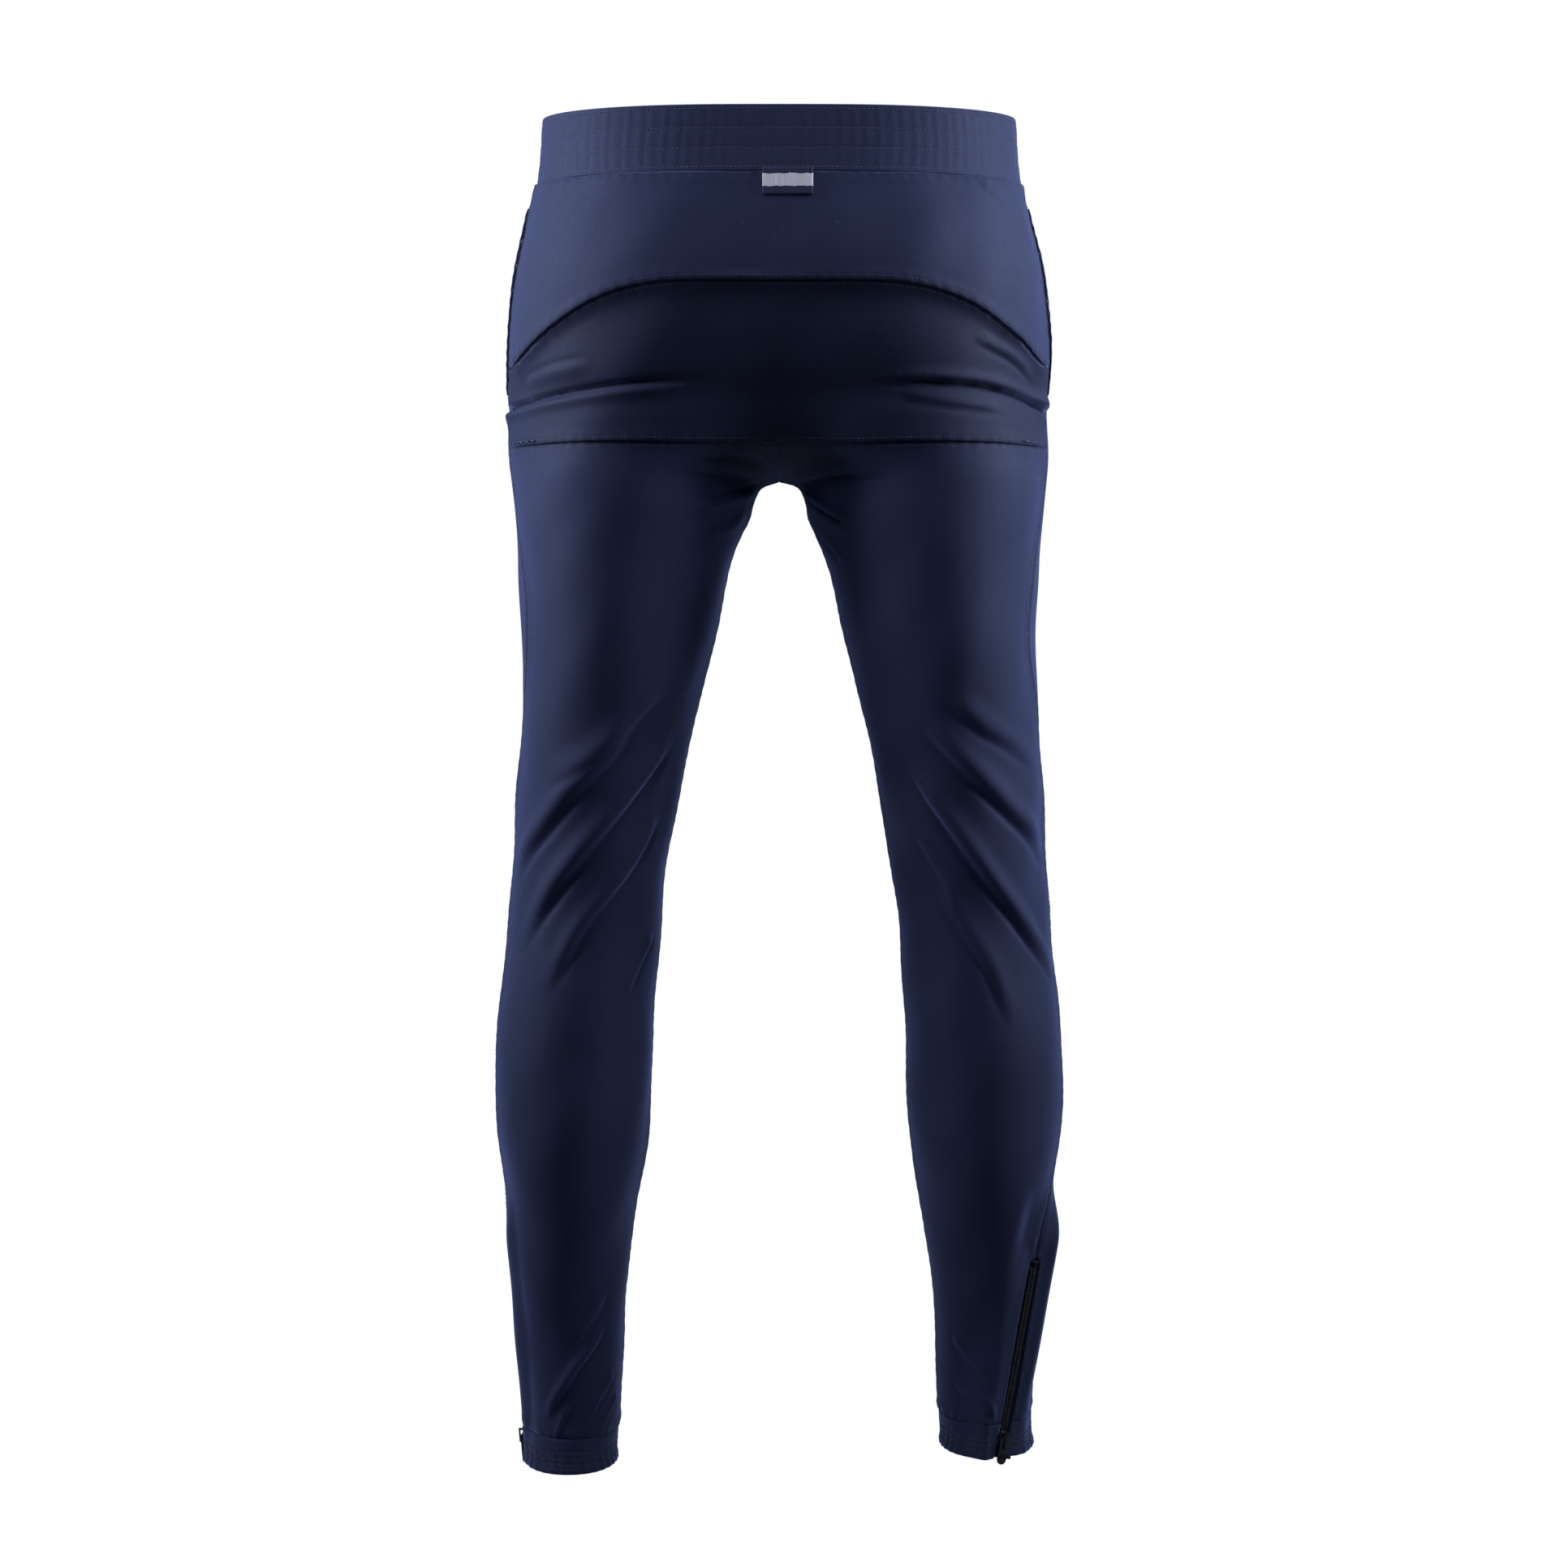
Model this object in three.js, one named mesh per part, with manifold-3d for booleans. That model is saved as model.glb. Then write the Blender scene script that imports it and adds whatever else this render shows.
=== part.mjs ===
// Slim training trousers, held at the waist. Millimetres. +X is the wearer's right, +Y the front, +Z up.
// The origin is the centre of the waist opening, level with the top edge of the waistband.
//
// Every fabric piece is a patch of one smooth skin. A place on the skin is given by the leg side, the share
// of the way round that side (0 at the back centre or inseam, 0.5 at the outer side, 1 at the front centre or
// inseam) and the height. A depth then goes inwards from the skin along its normal.

import * as THREE from 'three';
import { mergeVertices } from 'three/addons/utils/BufferGeometryUtils.js';
import Module from 'manifold-3d';

const wasm = await Module();
wasm.setup();

// ---------------------------------------------------------------- driving dimensions

const rise = 268; // top of the waistband to the crotch
const legLength = 727; // crotch to the left hem, down the side
const rightHemLift = 12; // the right leg stands this much higher
const hemDrop = 7; // the hem dips this much at the heel and rises as much over the instep
const crotchRound = 56; // how widely the crotch arch is rounded
const seam = 0.3; // gap between neighbouring pieces
const cloth = 1.0; // thickness of the trouser fabric

const waistband = { height: 50, elastic: 1.3, lining: 0.8 };
// The arched seam under the back yoke.
const yoke = { centre: -130, side: -186, flat: 0.2, reach: 0.92, lag: 1.5 };
const seatSeam = -245; // the straight seam under the seat
const hem = { height: 26, turn: 0.9, fold: 0.6, openDepth: 12 };

// The side panel's back edge swings over to the zip in the length `swing` above it.
const sidePanel = {
  backAngle: 9,
  thighBulge: 17,
  thighLevel: -375,
  bulgeReach: 75,
  frontAngle: 34,
  swing: 90,
};
const pocket = {
  drop: 18,
  bottom: -206,
  mouth: 3,
  ease: 12,
  depth: 128,
  margin: 10,
  wall: 1.5,
  hollow: 2,
  layer: 0.5,
  clear: 0.9,
};
const pocketTop = -waistband.height - pocket.drop;
const welt = { width: 8, thickness: 0.8, clear: 0.5 };
const tab = { width: 33, height: 19, layer: 0.7, hollow: 1.0, lift: 0.6, shift: 8 };
const eyelet = {
  spacing: 44,
  bore: 2.4,
  barrel: 3.2,
  flange: 5.2,
  plate: 0.7,
  lift: 0.5,
  set: 0.3,
  level: -24,
};

const zip = {
  length: 150,
  tape: 12,
  tapeThickness: 0.6,
  coil: 2.4,
  coilHeight: 1.8,
  gap: 1.2,
  slot: 4.5,
  under: 0.6,
};
const zipTurn = { left: { top: 4, bottom: 15 }, right: { top: -37, bottom: -79 } }; // degrees behind or ahead
// The cloth is flat to `beside` past the tape and free again at `fade` tape widths. Above the zip it is free at
// `rise` tape widths. Cloth that faces away from the zip, by the cosines `away` to `facing`, isn't flattened.
const zipFlat = { beside: 2, fade: 2.6, rise: 5, away: 0.2, facing: 0.55 };
const zipCut = { below: 104, outside: 2, inside: 5 };
const slider = {
  length: 12,
  width: 8.4,
  wall: 0.9,
  plate: 1.4,
  neck: 0.6,
  neckFrom: 2,
  neckTo: 4.2,
  park: 14,
};
const weld = 0.1; // how far the joined parts of one casting reach into each other
const bridge = { length: 10.5, width: 2.2, post: 1.5, window: 2.4, beam: 1.0 };
const pull = { length: 18, width: 8, thickness: 1.2, bar: 1.4, holeWidth: 3.4, holeLength: 5.6 };
const stop = { length: 2, height: 1.8, fromEnd: 3.5 };
const facing = { thickness: 0.6, wall: 1.2, drop: 0.5 };
const steps = { section: 160, band: 56, hem: 32, drill: 20, eyelet: 24 };

// Half sizes of the body part: share of the rise, outer side, depth at the centre as a share of the full
// depth, and the back and front surfaces.
const pelvis = [
  { share: 0.0, outer: 176, centre: 1.0, back: -100, front: 96 },
  { share: 0.16, outer: 179, centre: 1.0, back: -108, front: 99 },
  { share: 0.3, outer: 187.5, centre: 0.995, back: -118, front: 104 },
  { share: 0.45, outer: 196, centre: 0.985, back: -124, front: 107 },
  { share: 0.6, outer: 200, centre: 0.97, back: -120, front: 108 },
  { share: 0.76, outer: 200, centre: 0.93, back: -109, front: 107 },
  { share: 0.9, outer: 200.5, centre: 0.8, back: -100, front: 105 },
  { share: 0.955, outer: 200, centre: 0.55, back: -98, front: 104 },
  { share: 1.0, outer: 199, centre: 0.0, back: -97, front: 103 },
];
// The same down the leg: share of the leg's length, outer side, inner side, back and front surfaces.
const leg = [
  { share: 0.04, outer: 197, inner: 23.5, back: -96, front: 102 },
  { share: 0.085, outer: 193.5, inner: 35.6, back: -94, front: 100 },
  { share: 0.168, outer: 191, inner: 49.5, back: -89, front: 96 },
  { share: 0.29, outer: 194, inner: 70.5, back: -77, front: 88 },
  { share: 0.44, outer: 200.5, inner: 88, back: -67, front: 78 },
  { share: 0.59, outer: 210, inner: 94.5, back: -76, front: 62 },
  { share: 0.665, outer: 208.5, inner: 96.5, back: -76, front: 53 },
  { share: 0.74, outer: 202, inner: 105, back: -68, front: 47 },
  { share: 0.82, outer: 196.5, inner: 113, back: -55, front: 43 },
  { share: 0.89, outer: 191.5, inner: 115.5, back: -47, front: 42 },
  { share: 0.95, outer: 187.5, inner: 118.5, back: -46, front: 43 },
  { share: 1.0, outer: 188.5, inner: 121, back: -49, front: 46 },
  { share: 1.03, outer: 189, inner: 121.5, back: -50, front: 47 },
];

// ---------------------------------------------------------------- small helpers

const radians = THREE.MathUtils.degToRad;
const lerp = THREE.MathUtils.lerp;
const smoothstep = THREE.MathUtils.smoothstep;
const sides = { left: -1, right: 1 };

/** A smooth function through [height, value] stations, listed from the top down. */
function smoothThrough(stations) {
  const slopeAt = (i) => {
    const before = stations[Math.max(i - 1, 0)];
    const after = stations[Math.min(i + 1, stations.length - 1)];
    return (after[1] - before[1]) / (after[0] - before[0]);
  };
  return (height) => {
    let i = 0;
    while (i < stations.length - 2 && height < stations[i + 1][0]) i += 1;
    const [top, topValue] = stations[i];
    const [bottom, bottomValue] = stations[i + 1];
    const span = bottom - top;
    const t = THREE.MathUtils.clamp((height - top) / span, -0.2, 1.2);
    const rest = 1 - t;
    return (
      topValue * (1 + 2 * t) * rest * rest +
      slopeAt(i) * span * t * rest * rest +
      bottomValue * t * t * (3 - 2 * t) -
      slopeAt(i + 1) * span * t * t * rest
    );
  };
}

// ---------------------------------------------------------------- the skin

const pelvisLevel = (share) => -rise * share;
const legLevel = (share) => -rise - legLength * share;

/** The inner end of a section above the crotch, in the rounded coordinate. */
function innerEnd({ outer, centre }) {
  const cosine = Math.sqrt(1 - centre * centre);
  const halfWidth = (Math.hypot(outer, crotchRound) - crotchRound) / (1 + cosine);
  return crotchRound - halfWidth * (1 - cosine);
}

const stationsOf = (pelvisValue, legValue) => [
  ...pelvis.map((station) => [pelvisLevel(station.share), pelvisValue(station)]),
  ...leg.map((station) => [legLevel(station.share), legValue(station)]),
];
const outerAt = smoothThrough(stationsOf((s) => s.outer, (s) => s.outer));
const innerAt = smoothThrough(stationsOf(innerEnd, (s) => Math.hypot(s.inner, crotchRound)));
const backAt = smoothThrough(stationsOf((s) => s.back, (s) => s.back));
const frontAt = smoothThrough(stationsOf((s) => s.front, (s) => s.front));

/** The oval of a level section, in the coordinate that rounds the valley between the legs. */
function ovalAt(height) {
  const outer = Math.hypot(outerAt(height), crotchRound);
  const inner = innerAt(height);
  const middle = (outer + inner) / 2;
  const halfWidth = (outer - inner) / 2;
  const halfDepth = (frontAt(height) - backAt(height)) / 2;
  const middleDepth = (frontAt(height) + backAt(height)) / 2;
  const turn = inner < crotchRound ? Math.acos((crotchRound - middle) / halfWidth) : Math.PI;
  return { middle, halfWidth, halfDepth, middleDepth, turn };
}

function ovalPoint(oval, angle) {
  const rounded = oval.middle + oval.halfWidth * Math.cos(angle);
  const x = Math.sqrt(Math.max(rounded * rounded - crotchRound * crotchRound, 0));
  return [x, oval.middleDepth + oval.halfDepth * Math.sin(angle)];
}

const sections = new Map();

/** One side's section as points and running lengths, from the back centre round to the front centre. */
function sectionAt(height) {
  if (!sections.has(height)) {
    const oval = ovalAt(height);
    const points = [];
    const lengths = [0];
    for (let i = 0; i <= steps.section; i += 1) {
      points.push(ovalPoint(oval, oval.turn * ((2 * i) / steps.section - 1)));
      if (i > 0) {
        const [x, y] = points[i];
        lengths.push(lengths[i - 1] + Math.hypot(x - points[i - 1][0], y - points[i - 1][1]));
      }
    }
    sections.set(height, { oval, points, lengths, total: lengths[steps.section] });
  }
  return sections.get(height);
}

/** The share at which a section reaches an angle from the outer side, minus towards the back. */
function shareAtAngle(degrees, height) {
  const { oval, lengths, total } = sectionAt(height);
  const place = THREE.MathUtils.clamp((radians(degrees) / oval.turn + 1) / 2, 0, 1) * steps.section;
  const i = Math.min(Math.floor(place), steps.section - 1);
  return lerp(lengths[i], lengths[i + 1], place - i) / total;
}

/** The point and outward normal of the smooth skin, before the zips flatten it. */
function smoothSkin(side, share, height) {
  const { points, lengths, total } = sectionAt(height);
  const wanted = THREE.MathUtils.clamp(share, 0, 1) * total;
  let i = 0;
  while (i < steps.section - 1 && lengths[i + 1] < wanted) i += 1;
  const t = (wanted - lengths[i]) / (lengths[i + 1] - lengths[i]);
  const x = lerp(points[i][0], points[i + 1][0], t);
  const y = lerp(points[i][1], points[i + 1][1], t);
  const level = (px, py, pz) => {
    const oval = ovalAt(pz);
    const across = (Math.hypot(px, crotchRound) - oval.middle) / oval.halfWidth;
    return across * across + ((py - oval.middleDepth) / oval.halfDepth) ** 2;
  };
  const reach = 0.05;
  const normal = new THREE.Vector3(
    level(x + reach, y, height) - level(x - reach, y, height),
    level(x, y + reach, height) - level(x, y - reach, height),
    level(x, y, height + reach) - level(x, y, height - reach),
  ).normalize();
  normal.x *= side;
  return { point: new THREE.Vector3(side * x, y, height), normal };
}

const hemLevel = (side) => -rise - legLength + (side > 0 ? rightHemLift : 0);
const hemEdge = (side, share) => hemLevel(side) - hemDrop * Math.sin(2 * Math.PI * share);

/** The straight line of an ankle zip: its lower end, and its directions along, across and outwards. */
function zipFrame(side) {
  const turn = side > 0 ? zipTurn.right : zipTurn.left;
  const low = hemEdge(side, 0.5 + turn.bottom / 360);
  const high = low + zip.length;
  const foot = smoothSkin(side, shareAtAngle(turn.bottom, low), low);
  const head = smoothSkin(side, shareAtAngle(turn.top, high), high);
  const along = head.point.clone().sub(foot.point).normalize();
  const outward = foot.normal.clone().add(head.normal);
  outward.addScaledVector(along, -outward.dot(along)).normalize();
  const across = outward.clone().cross(along);
  return { foot: foot.point, along, across, outward };
}
const zips = { [-1]: zipFrame(-1), [1]: zipFrame(1) };

/** A point of the skin, with the strip beside the ankle zip drawn flat, at a depth under the skin. */
function skin(side, share, height, depth = 0) {
  const { point, normal } = smoothSkin(side, share, height);
  const { foot, along, across, outward } = zips[side];
  const offset = point.clone().sub(foot);
  const sideways = Math.abs(offset.dot(across));
  const up = offset.dot(along);
  const flat =
    (1 - smoothstep(sideways, zip.tape + zipFlat.beside, zip.tape * zipFlat.fade)) *
    (1 - smoothstep(up, zip.length + zip.tape, zip.length + zip.tape * zipFlat.rise)) *
    smoothstep(normal.dot(outward), zipFlat.away, zipFlat.facing);
  point.addScaledVector(outward, -offset.dot(outward) * flat);
  normal.lerp(outward, flat).normalize();
  return point.addScaledVector(normal, -depth);
}

const loopLength = (height) => sectionAt(height).total;

// ---------------------------------------------------------------- solids

/** Six times the volume inside a mesh, below zero when its faces point inwards. */
function signedVolume(positions, corners) {
  const [a, b, c] = [new THREE.Vector3(), new THREE.Vector3(), new THREE.Vector3()];
  let volume = 0;
  for (let i = 0; i < corners.length; i += 3) {
    a.fromArray(positions, 3 * corners[i]);
    b.fromArray(positions, 3 * corners[i + 1]);
    c.fromArray(positions, 3 * corners[i + 2]);
    volume += a.dot(b.cross(c));
  }
  return volume;
}

/** A solid from a closed geometry, with its faces outwards on either side of the body. */
function solidOf(geometry) {
  geometry.deleteAttribute('normal');
  geometry.deleteAttribute('uv');
  const merged = mergeVertices(geometry, 1e-4);
  const vertProperties = Float32Array.from(merged.attributes.position.array);
  const triVerts = Uint32Array.from(merged.index.array);
  if (signedVolume(vertProperties, triVerts) < 0) triVerts.reverse();
  return new wasm.Manifold(new wasm.Mesh({ numProp: 3, vertProperties, triVerts }));
}

/** The geometry of a solid, for a mesh. */
function geometryOf(solid) {
  const { vertProperties, triVerts } = solid.getMesh();
  const geometry = new THREE.BufferGeometry();
  geometry.setAttribute('position', new THREE.BufferAttribute(Float32Array.from(vertProperties), 3));
  geometry.setIndex(new THREE.BufferAttribute(Uint32Array.from(triVerts), 1));
  geometry.computeVertexNormals();
  return geometry;
}

/** A box of unit size, divided into a grid and carried point by point to its place by a function. */
function carriedBox(columns, rows, place) {
  const geometry = new THREE.BoxGeometry(1, 1, 1, columns, rows, 1);
  const position = geometry.attributes.position;
  for (let i = 0; i < position.count; i += 1) {
    const point = place(position.getX(i) + 0.5, 0.5 - position.getY(i), 0.5 - position.getZ(i));
    position.setXYZ(i, point.x, point.y, point.z);
  }
  return solidOf(geometry);
}

const rowsOf = (levels) => levels.slice(1).reduce((sum, level) => sum + level.rows, 0);

/** The height at a part of the way down a list of levels, each with its count of rows. */
function heightDown(levels, share, down) {
  let row = down * rowsOf(levels);
  let i = 1;
  while (i < levels.length - 1 && row > levels[i].rows + 1e-9) {
    row -= levels[i].rows;
    i += 1;
  }
  return lerp(levels[i - 1].edge(share), levels[i].edge(share), row / levels[i].rows);
}

/**
 * A patch of cloth. Its start and end give shares of the way round at a height, and its levels give heights at a
 * share, from the top down, so that neighbours share the heights of their rows. A share below 0 is on the left
 * side of a patch that crosses the back.
 */
function patch({ side, start, end, levels, columns, outer = 0, inner = cloth }) {
  const sideOf = (share) => side || (share < 0 ? -1 : 1);
  const margin = seam / 2;
  return carriedBox(columns, rowsOf(levels), (across, down, layer) => {
    const edgeGap = down < 1e-9 ? -margin : down > 1 - 1e-9 ? margin : 0;
    let height = heightDown(levels, 0.5, down);
    let share = 0;
    for (let pass = 0; pass < 6; pass += 1) {
      const trim = margin / loopLength(height);
      share = lerp(start(height) + trim, end(height) - trim, across);
      height = heightDown(levels, share, down) + edgeGap;
    }
    const edge = side ? share : Math.abs(share);
    return skin(sideOf(share), edge, height, lerp(outer, inner, layer));
  });
}

/** A closed band: a profile of [depth, height above the lower edge] swept round a loop of the skin. */
function band(profile, steps, place) {
  const closed = [...profile, profile[0]];
  const points = closed.map(([depth]) => new THREE.Vector2(100 + depth, 0));
  const geometry = new THREE.LatheGeometry(points, steps);
  const { position, uv } = geometry.attributes;
  for (let i = 0; i < position.count; i += 1) {
    const [depth, height] = closed[Math.round(uv.getY(i) * (closed.length - 1))];
    const point = place(uv.getX(i), height, depth);
    position.setXYZ(i, point.x, point.y, point.z);
  }
  return solidOf(geometry);
}

/** A block in local axes: ranges along, across and outwards. */
function block([alongFrom, alongTo], [acrossFrom, acrossTo], [outFrom, outTo]) {
  const geometry = new THREE.BoxGeometry(alongTo - alongFrom, acrossTo - acrossFrom, outTo - outFrom);
  geometry.translate((alongFrom + alongTo) / 2, (acrossFrom + acrossTo) / 2, (outFrom + outTo) / 2);
  return solidOf(geometry);
}

/** The same block, carried to a zip's place on the body. */
function blockAtZip(side, alongRange, acrossRange, outRange) {
  const { foot, along, across, outward } = zips[side];
  const basis = new THREE.Matrix4().makeBasis(along, across, outward).setPosition(foot);
  return block(alongRange, acrossRange, outRange).transform(basis.elements);
}

// ---------------------------------------------------------------- seams of the trousers

/** The angle round a section at which a straight zip meets it. */
function zipAngle(side, height) {
  const { foot, along } = zips[side];
  const at = foot.clone().addScaledVector(along, (height - foot.z) / along.z);
  const oval = ovalAt(height);
  const across = (Math.hypot(at.x, crotchRound) - oval.middle) / oval.halfWidth;
  return THREE.MathUtils.radToDeg(Math.atan2((at.y - oval.middleDepth) / oval.halfDepth, across));
}

const zipHead = (side) => zips[side].foot.z + zip.length * zips[side].along.z;

/** The angle of the side panel's back edge: the pocket, then the bulge at the thigh, then the zip. */
function backSeamAngle(side, height) {
  const bulge = Math.exp(-(((height - sidePanel.thighLevel) / sidePanel.bulgeReach) ** 2));
  const free = -sidePanel.backAngle - sidePanel.thighBulge * bulge;
  const swing = 1 - smoothstep(height, zipHead(side), zipHead(side) + sidePanel.swing);
  return lerp(free, zipAngle(side, Math.min(height, zipHead(side))), swing);
}

/** The angle of the side panel's front edge, which follows the back edge half as far below the knee. */
function frontSeamAngle(side, height) {
  const knee = -rise - legLength / 2;
  return sidePanel.frontAngle + (backSeamAngle(side, Math.min(height, knee)) + sidePanel.backAngle) / 2;
}

const backSeam = (side) => (height) => shareAtAngle(backSeamAngle(side, height), height);
const frontSeam = (side) => (height) => shareAtAngle(frontSeamAngle(side, height), height);
const centreLine = () => 0;
const frontLine = () => 1;

/** The arch of the back yoke, flat in the middle and falling towards the sides. */
function yokeEdge(share) {
  const way = (Math.abs(share) / 0.5 - yoke.flat) / (yoke.reach - yoke.flat);
  return lerp(yoke.centre, yoke.side, smoothstep(THREE.MathUtils.clamp(way, 0, 1) ** yoke.lag, 0, 1));
}

// The levels that neighbouring pieces share, each with the rows between it and the level above.
const bandLevel = { edge: () => -waistband.height, rows: 0 };
const hipLevel = { edge: () => yoke.side, rows: 6 };
const archLevel = { edge: yokeEdge, rows: 6 };
const seatLevel = { edge: () => seatSeam, rows: 4 };
const crotchLevel = { edge: () => -rise, rows: 4 };
const archTopLevel = { edge: () => -rise - crotchRound / 2, rows: 3 };
const legEndLevel = (side) => ({ edge: (share) => hemEdge(side, share) + hem.height, rows: 20 });
const legLevels = (side) => [seatLevel, crotchLevel, archTopLevel, legEndLevel(side)];

/** How far the pocket stands open at a height, from 0 at its ends to 1. */
function pocketOpen(height) {
  const fromTop = smoothstep(pocketTop - height, 0, pocket.ease);
  const fromBottom = smoothstep(height - pocket.bottom, 0, pocket.ease);
  return fromTop * fromBottom;
}

// ---------------------------------------------------------------- pieces

const bandDepth = cloth + seam + waistband.elastic + seam + waistband.lining;

/** A point at a depth inside the waistband, measured level so that its top edge stays flat. */
function bandPlace(turn, height, depth) {
  const side = turn < 0.5 ? 1 : -1;
  const share = turn < 0.5 ? 2 * turn : 2 - 2 * turn;
  const { point, normal } = smoothSkin(side, share, height);
  normal.z = 0;
  return point.addScaledVector(normal.normalize(), -depth);
}

const rectangle = (outer, inner, low, high) => [[outer, low], [outer, high], [inner, high], [inner, low]];

/** The frame of an eyelet: its place on the front of the waistband and its outward direction. */
function eyeletFrame(side) {
  const { points, lengths, total } = sectionAt(eyelet.level);
  let i = points.length - 1;
  while (points[i][0] < eyelet.spacing / 2) i -= 1;
  return smoothSkin(side, lengths[i] / total, eyelet.level);
}

function eyeletHole(side) {
  const { point, normal } = eyeletFrame(side);
  const drill = new THREE.CylinderGeometry(eyelet.barrel + seam, eyelet.barrel + seam, 3 * cloth, steps.drill);
  drill.applyQuaternion(new THREE.Quaternion().setFromUnitVectors(THREE.Object3D.DEFAULT_UP, normal));
  drill.translate(point.x, point.y, point.z);
  return solidOf(drill);
}

function waistbandOuter() {
  const fold = bandDepth + seam;
  const low = -waistband.height + seam / 2;
  const outside = [[0, low], [0, eyelet.level], [0, 0]];
  const profile = [...outside, [fold, 0], [fold, -cloth], [cloth, -cloth], [cloth, low]];
  const shell = band(profile, steps.band, bandPlace);
  return shell.subtract(eyeletHole(-1)).subtract(eyeletHole(1));
}

function waistbandElastic() {
  const outer = cloth + seam;
  const low = -waistband.height + seam / 2;
  const profile = rectangle(outer, outer + waistband.elastic, low, -cloth - seam);
  return band(profile.reverse(), steps.band, bandPlace); // its facets then fold as its neighbours' do
}

function waistbandLining() {
  const outer = cloth + seam + waistband.elastic + seam;
  const low = -waistband.height + seam / 2;
  return band(rectangle(outer, outer + waistband.lining, low, -cloth - seam), steps.band, bandPlace);
}

const backPiece = (...levels) =>
  patch({
    start: (height) => -backSeam(-1)(height),
    end: backSeam(1),
    levels,
    columns: 28,
  });

function cutForZip(side, solid) {
  const through = [-zipCut.outside * cloth, zipCut.inside * cloth];
  return solid.subtract(blockAtZip(side, [-zipCut.below, zip.length], [-zip.slot, zip.slot], through));
}

function backLeg(side) {
  const solid = patch({
    side,
    start: centreLine,
    end: backSeam(side),
    levels: legLevels(side),
    columns: 14,
  });
  return cutForZip(side, solid);
}

function sidePanelOf(side) {
  const mouth = (height) => (pocketOpen(height) * pocket.mouth) / loopLength(height);
  const solid = patch({
    side,
    start: (height) => backSeam(side)(height) + mouth(height),
    end: frontSeam(side),
    levels: [bandLevel, hipLevel, ...legLevels(side)],
    columns: 6,
  });
  return cutForZip(side, solid);
}

const frontPanel = (side) =>
  patch({
    side,
    start: frontSeam(side),
    end: frontLine,
    levels: [bandLevel, hipLevel, ...legLevels(side)],
    columns: 8,
  });

function hemBand(side) {
  const inner = 2 * hem.turn + hem.fold;
  const top = hem.height - seam / 2;
  const profile = [
    [0, top],
    [0, 0],
    [inner, 0],
    [inner, top],
    [inner - hem.turn, top],
    [inner - hem.turn, hem.turn],
    [hem.turn, hem.turn],
    [hem.turn, top],
  ];
  const place = (turn, height, depth) => skin(side, turn, hemEdge(side, turn) + height, depth);
  const ring = band(profile, steps.hem, place);
  const wide = zip.tape + zipFlat.beside;
  const behind = blockAtZip(side, [-hem.height, zip.length], [-wide, wide], [-hem.openDepth, -cloth - weld]);
  return cutForZip(side, ring).subtract(behind);
}

/** A flat pouch that lies inside the side and front panels and opens backwards at the pocket's mouth. */
function pocketBag(side) {
  const outer = cloth + pocket.clear;
  const pouch = (inset, reach) =>
    patch({
      side,
      start: (height) => backSeam(side)(height) + (inset - reach) / loopLength(height),
      end: (height) => backSeam(side)(height) + (pocket.depth - inset) / loopLength(height),
      levels: [
        { edge: () => pocketTop + pocket.margin - inset, rows: 0 },
        { edge: () => pocket.bottom - pocket.margin + inset, rows: 6 },
      ],
      columns: 8,
      outer: outer + (inset > 0 ? pocket.layer : 0),
      inner: outer + pocket.layer + pocket.hollow + (inset > 0 ? 0 : pocket.layer),
    });
  return pouch(0, pocket.margin / 2).subtract(pouch(pocket.wall, pocket.margin * 2));
}

const pocketWelt = (side) =>
  patch({
    side,
    start: (height) => backSeam(side)(height) + (pocket.mouth + seam) / loopLength(height),
    end: (height) => backSeam(side)(height) + (pocket.mouth + seam + welt.width) / loopLength(height),
    levels: [
      { edge: () => pocketTop, rows: 0 },
      { edge: () => pocket.bottom, rows: 10 },
    ],
    columns: 1,
    outer: -welt.clear - welt.thickness,
    inner: -welt.clear,
  });

/** A folded loop of tape: a flat tube whose hollow runs from side to side. */
function hangingTab() {
  const thickness = 2 * tab.layer + tab.hollow;
  const outline = new THREE.Shape();
  outline.moveTo(0, 0);
  outline.lineTo(tab.height - thickness / 2, 0);
  outline.absarc(tab.height - thickness / 2, thickness / 2, thickness / 2, -Math.PI / 2, Math.PI / 2);
  outline.lineTo(0, thickness);
  const hollow = new THREE.Path();
  const end = tab.height - thickness / 2;
  hollow.moveTo(tab.layer, tab.layer);
  hollow.lineTo(end, tab.layer);
  hollow.absarc(end, thickness / 2, tab.hollow / 2, -Math.PI / 2, Math.PI / 2);
  hollow.lineTo(tab.layer, tab.layer + tab.hollow);
  outline.holes.push(hollow);
  const geometry = new THREE.ExtrudeGeometry(outline, {
    depth: tab.width,
    bevelEnabled: false,
    curveSegments: 6,
  });
  geometry.translate(0, 0, -tab.width / 2);
  return solidOf(geometry);
}

function drawcordEyelet() {
  const profile = [
    [eyelet.bore, -eyelet.set],
    [eyelet.barrel, -eyelet.set],
    [eyelet.barrel, eyelet.lift],
    [eyelet.flange, eyelet.lift],
    [eyelet.flange, eyelet.lift + eyelet.plate],
    [eyelet.bore, eyelet.lift + eyelet.plate],
    [eyelet.bore, -eyelet.set],
  ];
  const points = profile.map(([radius, up]) => new THREE.Vector2(radius, up));
  return solidOf(new THREE.LatheGeometry(points, steps.eyelet));
}

// ---------------------------------------------------------------- ankle zips, in their own axes

const tapeTop = -cloth - zip.under;
const tapeUnder = tapeTop - zip.tapeThickness;
const coilFoot = tapeTop + seam;
const coilTop = coilFoot + zip.coilHeight;
const coilOut = zip.gap / 2 + zip.coil;
const plateFoot = coilTop + seam;
const plateTop = plateFoot + slider.plate;
const barLevel = plateTop + bridge.window / 2;

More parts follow.
